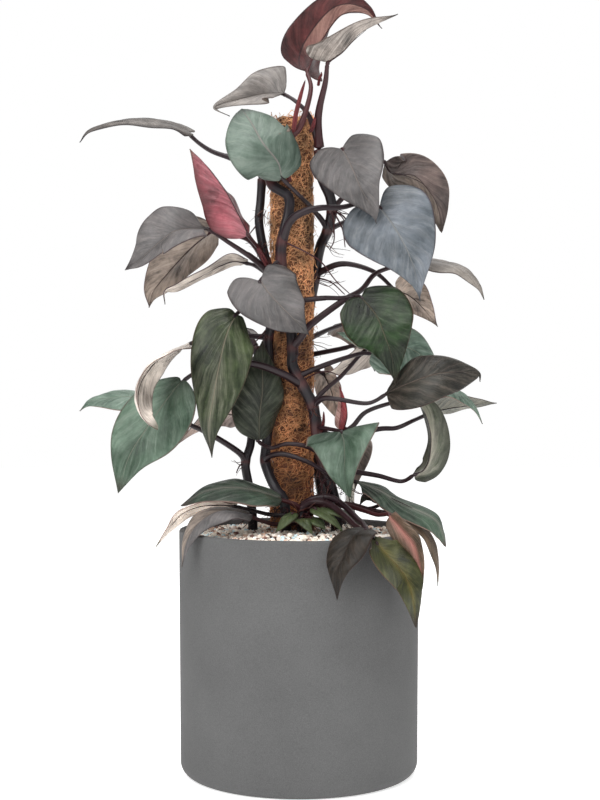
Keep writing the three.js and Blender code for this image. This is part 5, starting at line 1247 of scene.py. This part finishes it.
# The two nodes that keep their own shape.
def dressNodes():
    core, tree, surface = newMaterial("poleWood", Roughness=0.75)
    coords = objectCoords(tree)
    grain = addNode(tree, "ShaderNodeTexWave", {"bands_direction": "X"}, Vector=coords, Scale=160.0,
                    Distortion=3.0, Detail=2.0).outputs["Fac"]
    put(tree, surface.inputs["Base Color"], mixColour(tree, grain, colourOf(150, 118, 84), colourOf(186, 156, 118)))
    plastic, tree, surface = newMaterial("labelPlastic", Roughness=0.45)
    clouds = noiseOf(tree, objectCoords(tree), 60.0, 3.0)
    put(tree, surface.inputs["Base Color"], mixColour(tree, clouds, colourOf(244, 240, 226), colourOf(252, 250, 240)))
    for node, material in (("pole_core", core), ("plant_label", plastic)):
        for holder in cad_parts[node].material_slots:
            holder.material = material


# Camera, light and floor.
studio = {
    "sky": 0.42, "aim": (0, 0, 0.5),
    "lamps": {"key": ((-1.5, -2.1, 2.5), 2.6, 96), "fill": ((2.4, -1.4, 1.4), 2.4, 22),
              "top": ((0.1, -0.2, 2.9), 1.8, 50), "back": ((0.3, 2.2, 2.0), 2.0, 12)},
    "floorRadius": 6.0, "floorGlow": 0.58,
}


def setStage():
    camera = bpy.data.cameras.new("camera")
    camera.lens = eye["lens"]
    camera.sensor_width = 36
    camera.shift_x, camera.shift_y = eye["shift"]
    camera.clip_end = 50
    holder = addObject("camera", camera)
    holder.location = (0, -eye["distance"] / 1000, eye["height"] / 1000)
    holder.rotation_euler = (math.pi / 2, 0, 0)
    bpy.context.scene.camera = holder
    bpy.context.scene.view_settings.view_transform = "Standard"

    world = bpy.data.worlds.new("studio")
    bpy.context.scene.world = world
    world.use_nodes = True
    tree = world.node_tree
    ray = tree.nodes.new("ShaderNodeLightPath").outputs["Is Camera Ray"]
    strength = maths(tree, "MULTIPLY_ADD", ray, 1.0 - studio["sky"], studio["sky"])
    putAll(tree, tree.nodes["Background"], {"Color": (1, 1, 1, 1), "Strength": strength})

    for name, (spot, size, power) in studio["lamps"].items():
        lamp = bpy.data.lights.new(name, "AREA")
        lamp.size = size
        lamp.energy = power
        holder = addObject(name, lamp)
        holder.location = spot
        holder.rotation_euler = (Vector(studio["aim"]) - Vector(spot)).to_track_quat("-Z", "Y").to_euler()

    bm = bmesh.new()
    bmesh.ops.create_circle(bm, cap_ends=True, segments=96, radius=studio["floorRadius"])
    floor = addObject("floor", meshOf(bm, "floor"))
    material, tree, surface = newMaterial("paleFloor", Roughness=0.9, Specular_IOR_Level=0.1,
                                          Emission_Color=(1, 1, 1, 1), Emission_Strength=studio["floorGlow"])
    clouds = noiseOf(tree, objectCoords(tree), 4.0, 2.0)
    put(tree, surface.inputs["Base Color"], mixColour(tree, clouds, colourOf(250, 250, 250), colourOf(252, 252, 252)))
    floor.data.materials.append(material)


# The build.
setStage()
print("stage is set")
makePlanter()
makeGranulate()
makeSoil()
print("planter is filled")
makePole()
makeFibres()
print("pole is wound")
for node in vineForm:
    makeVine(node)
makeShoots()
makeBracts()
print("stems are grown")
for node in bladeForm:
    makeBlade(node)
print("leaves are out")
dressNodes()
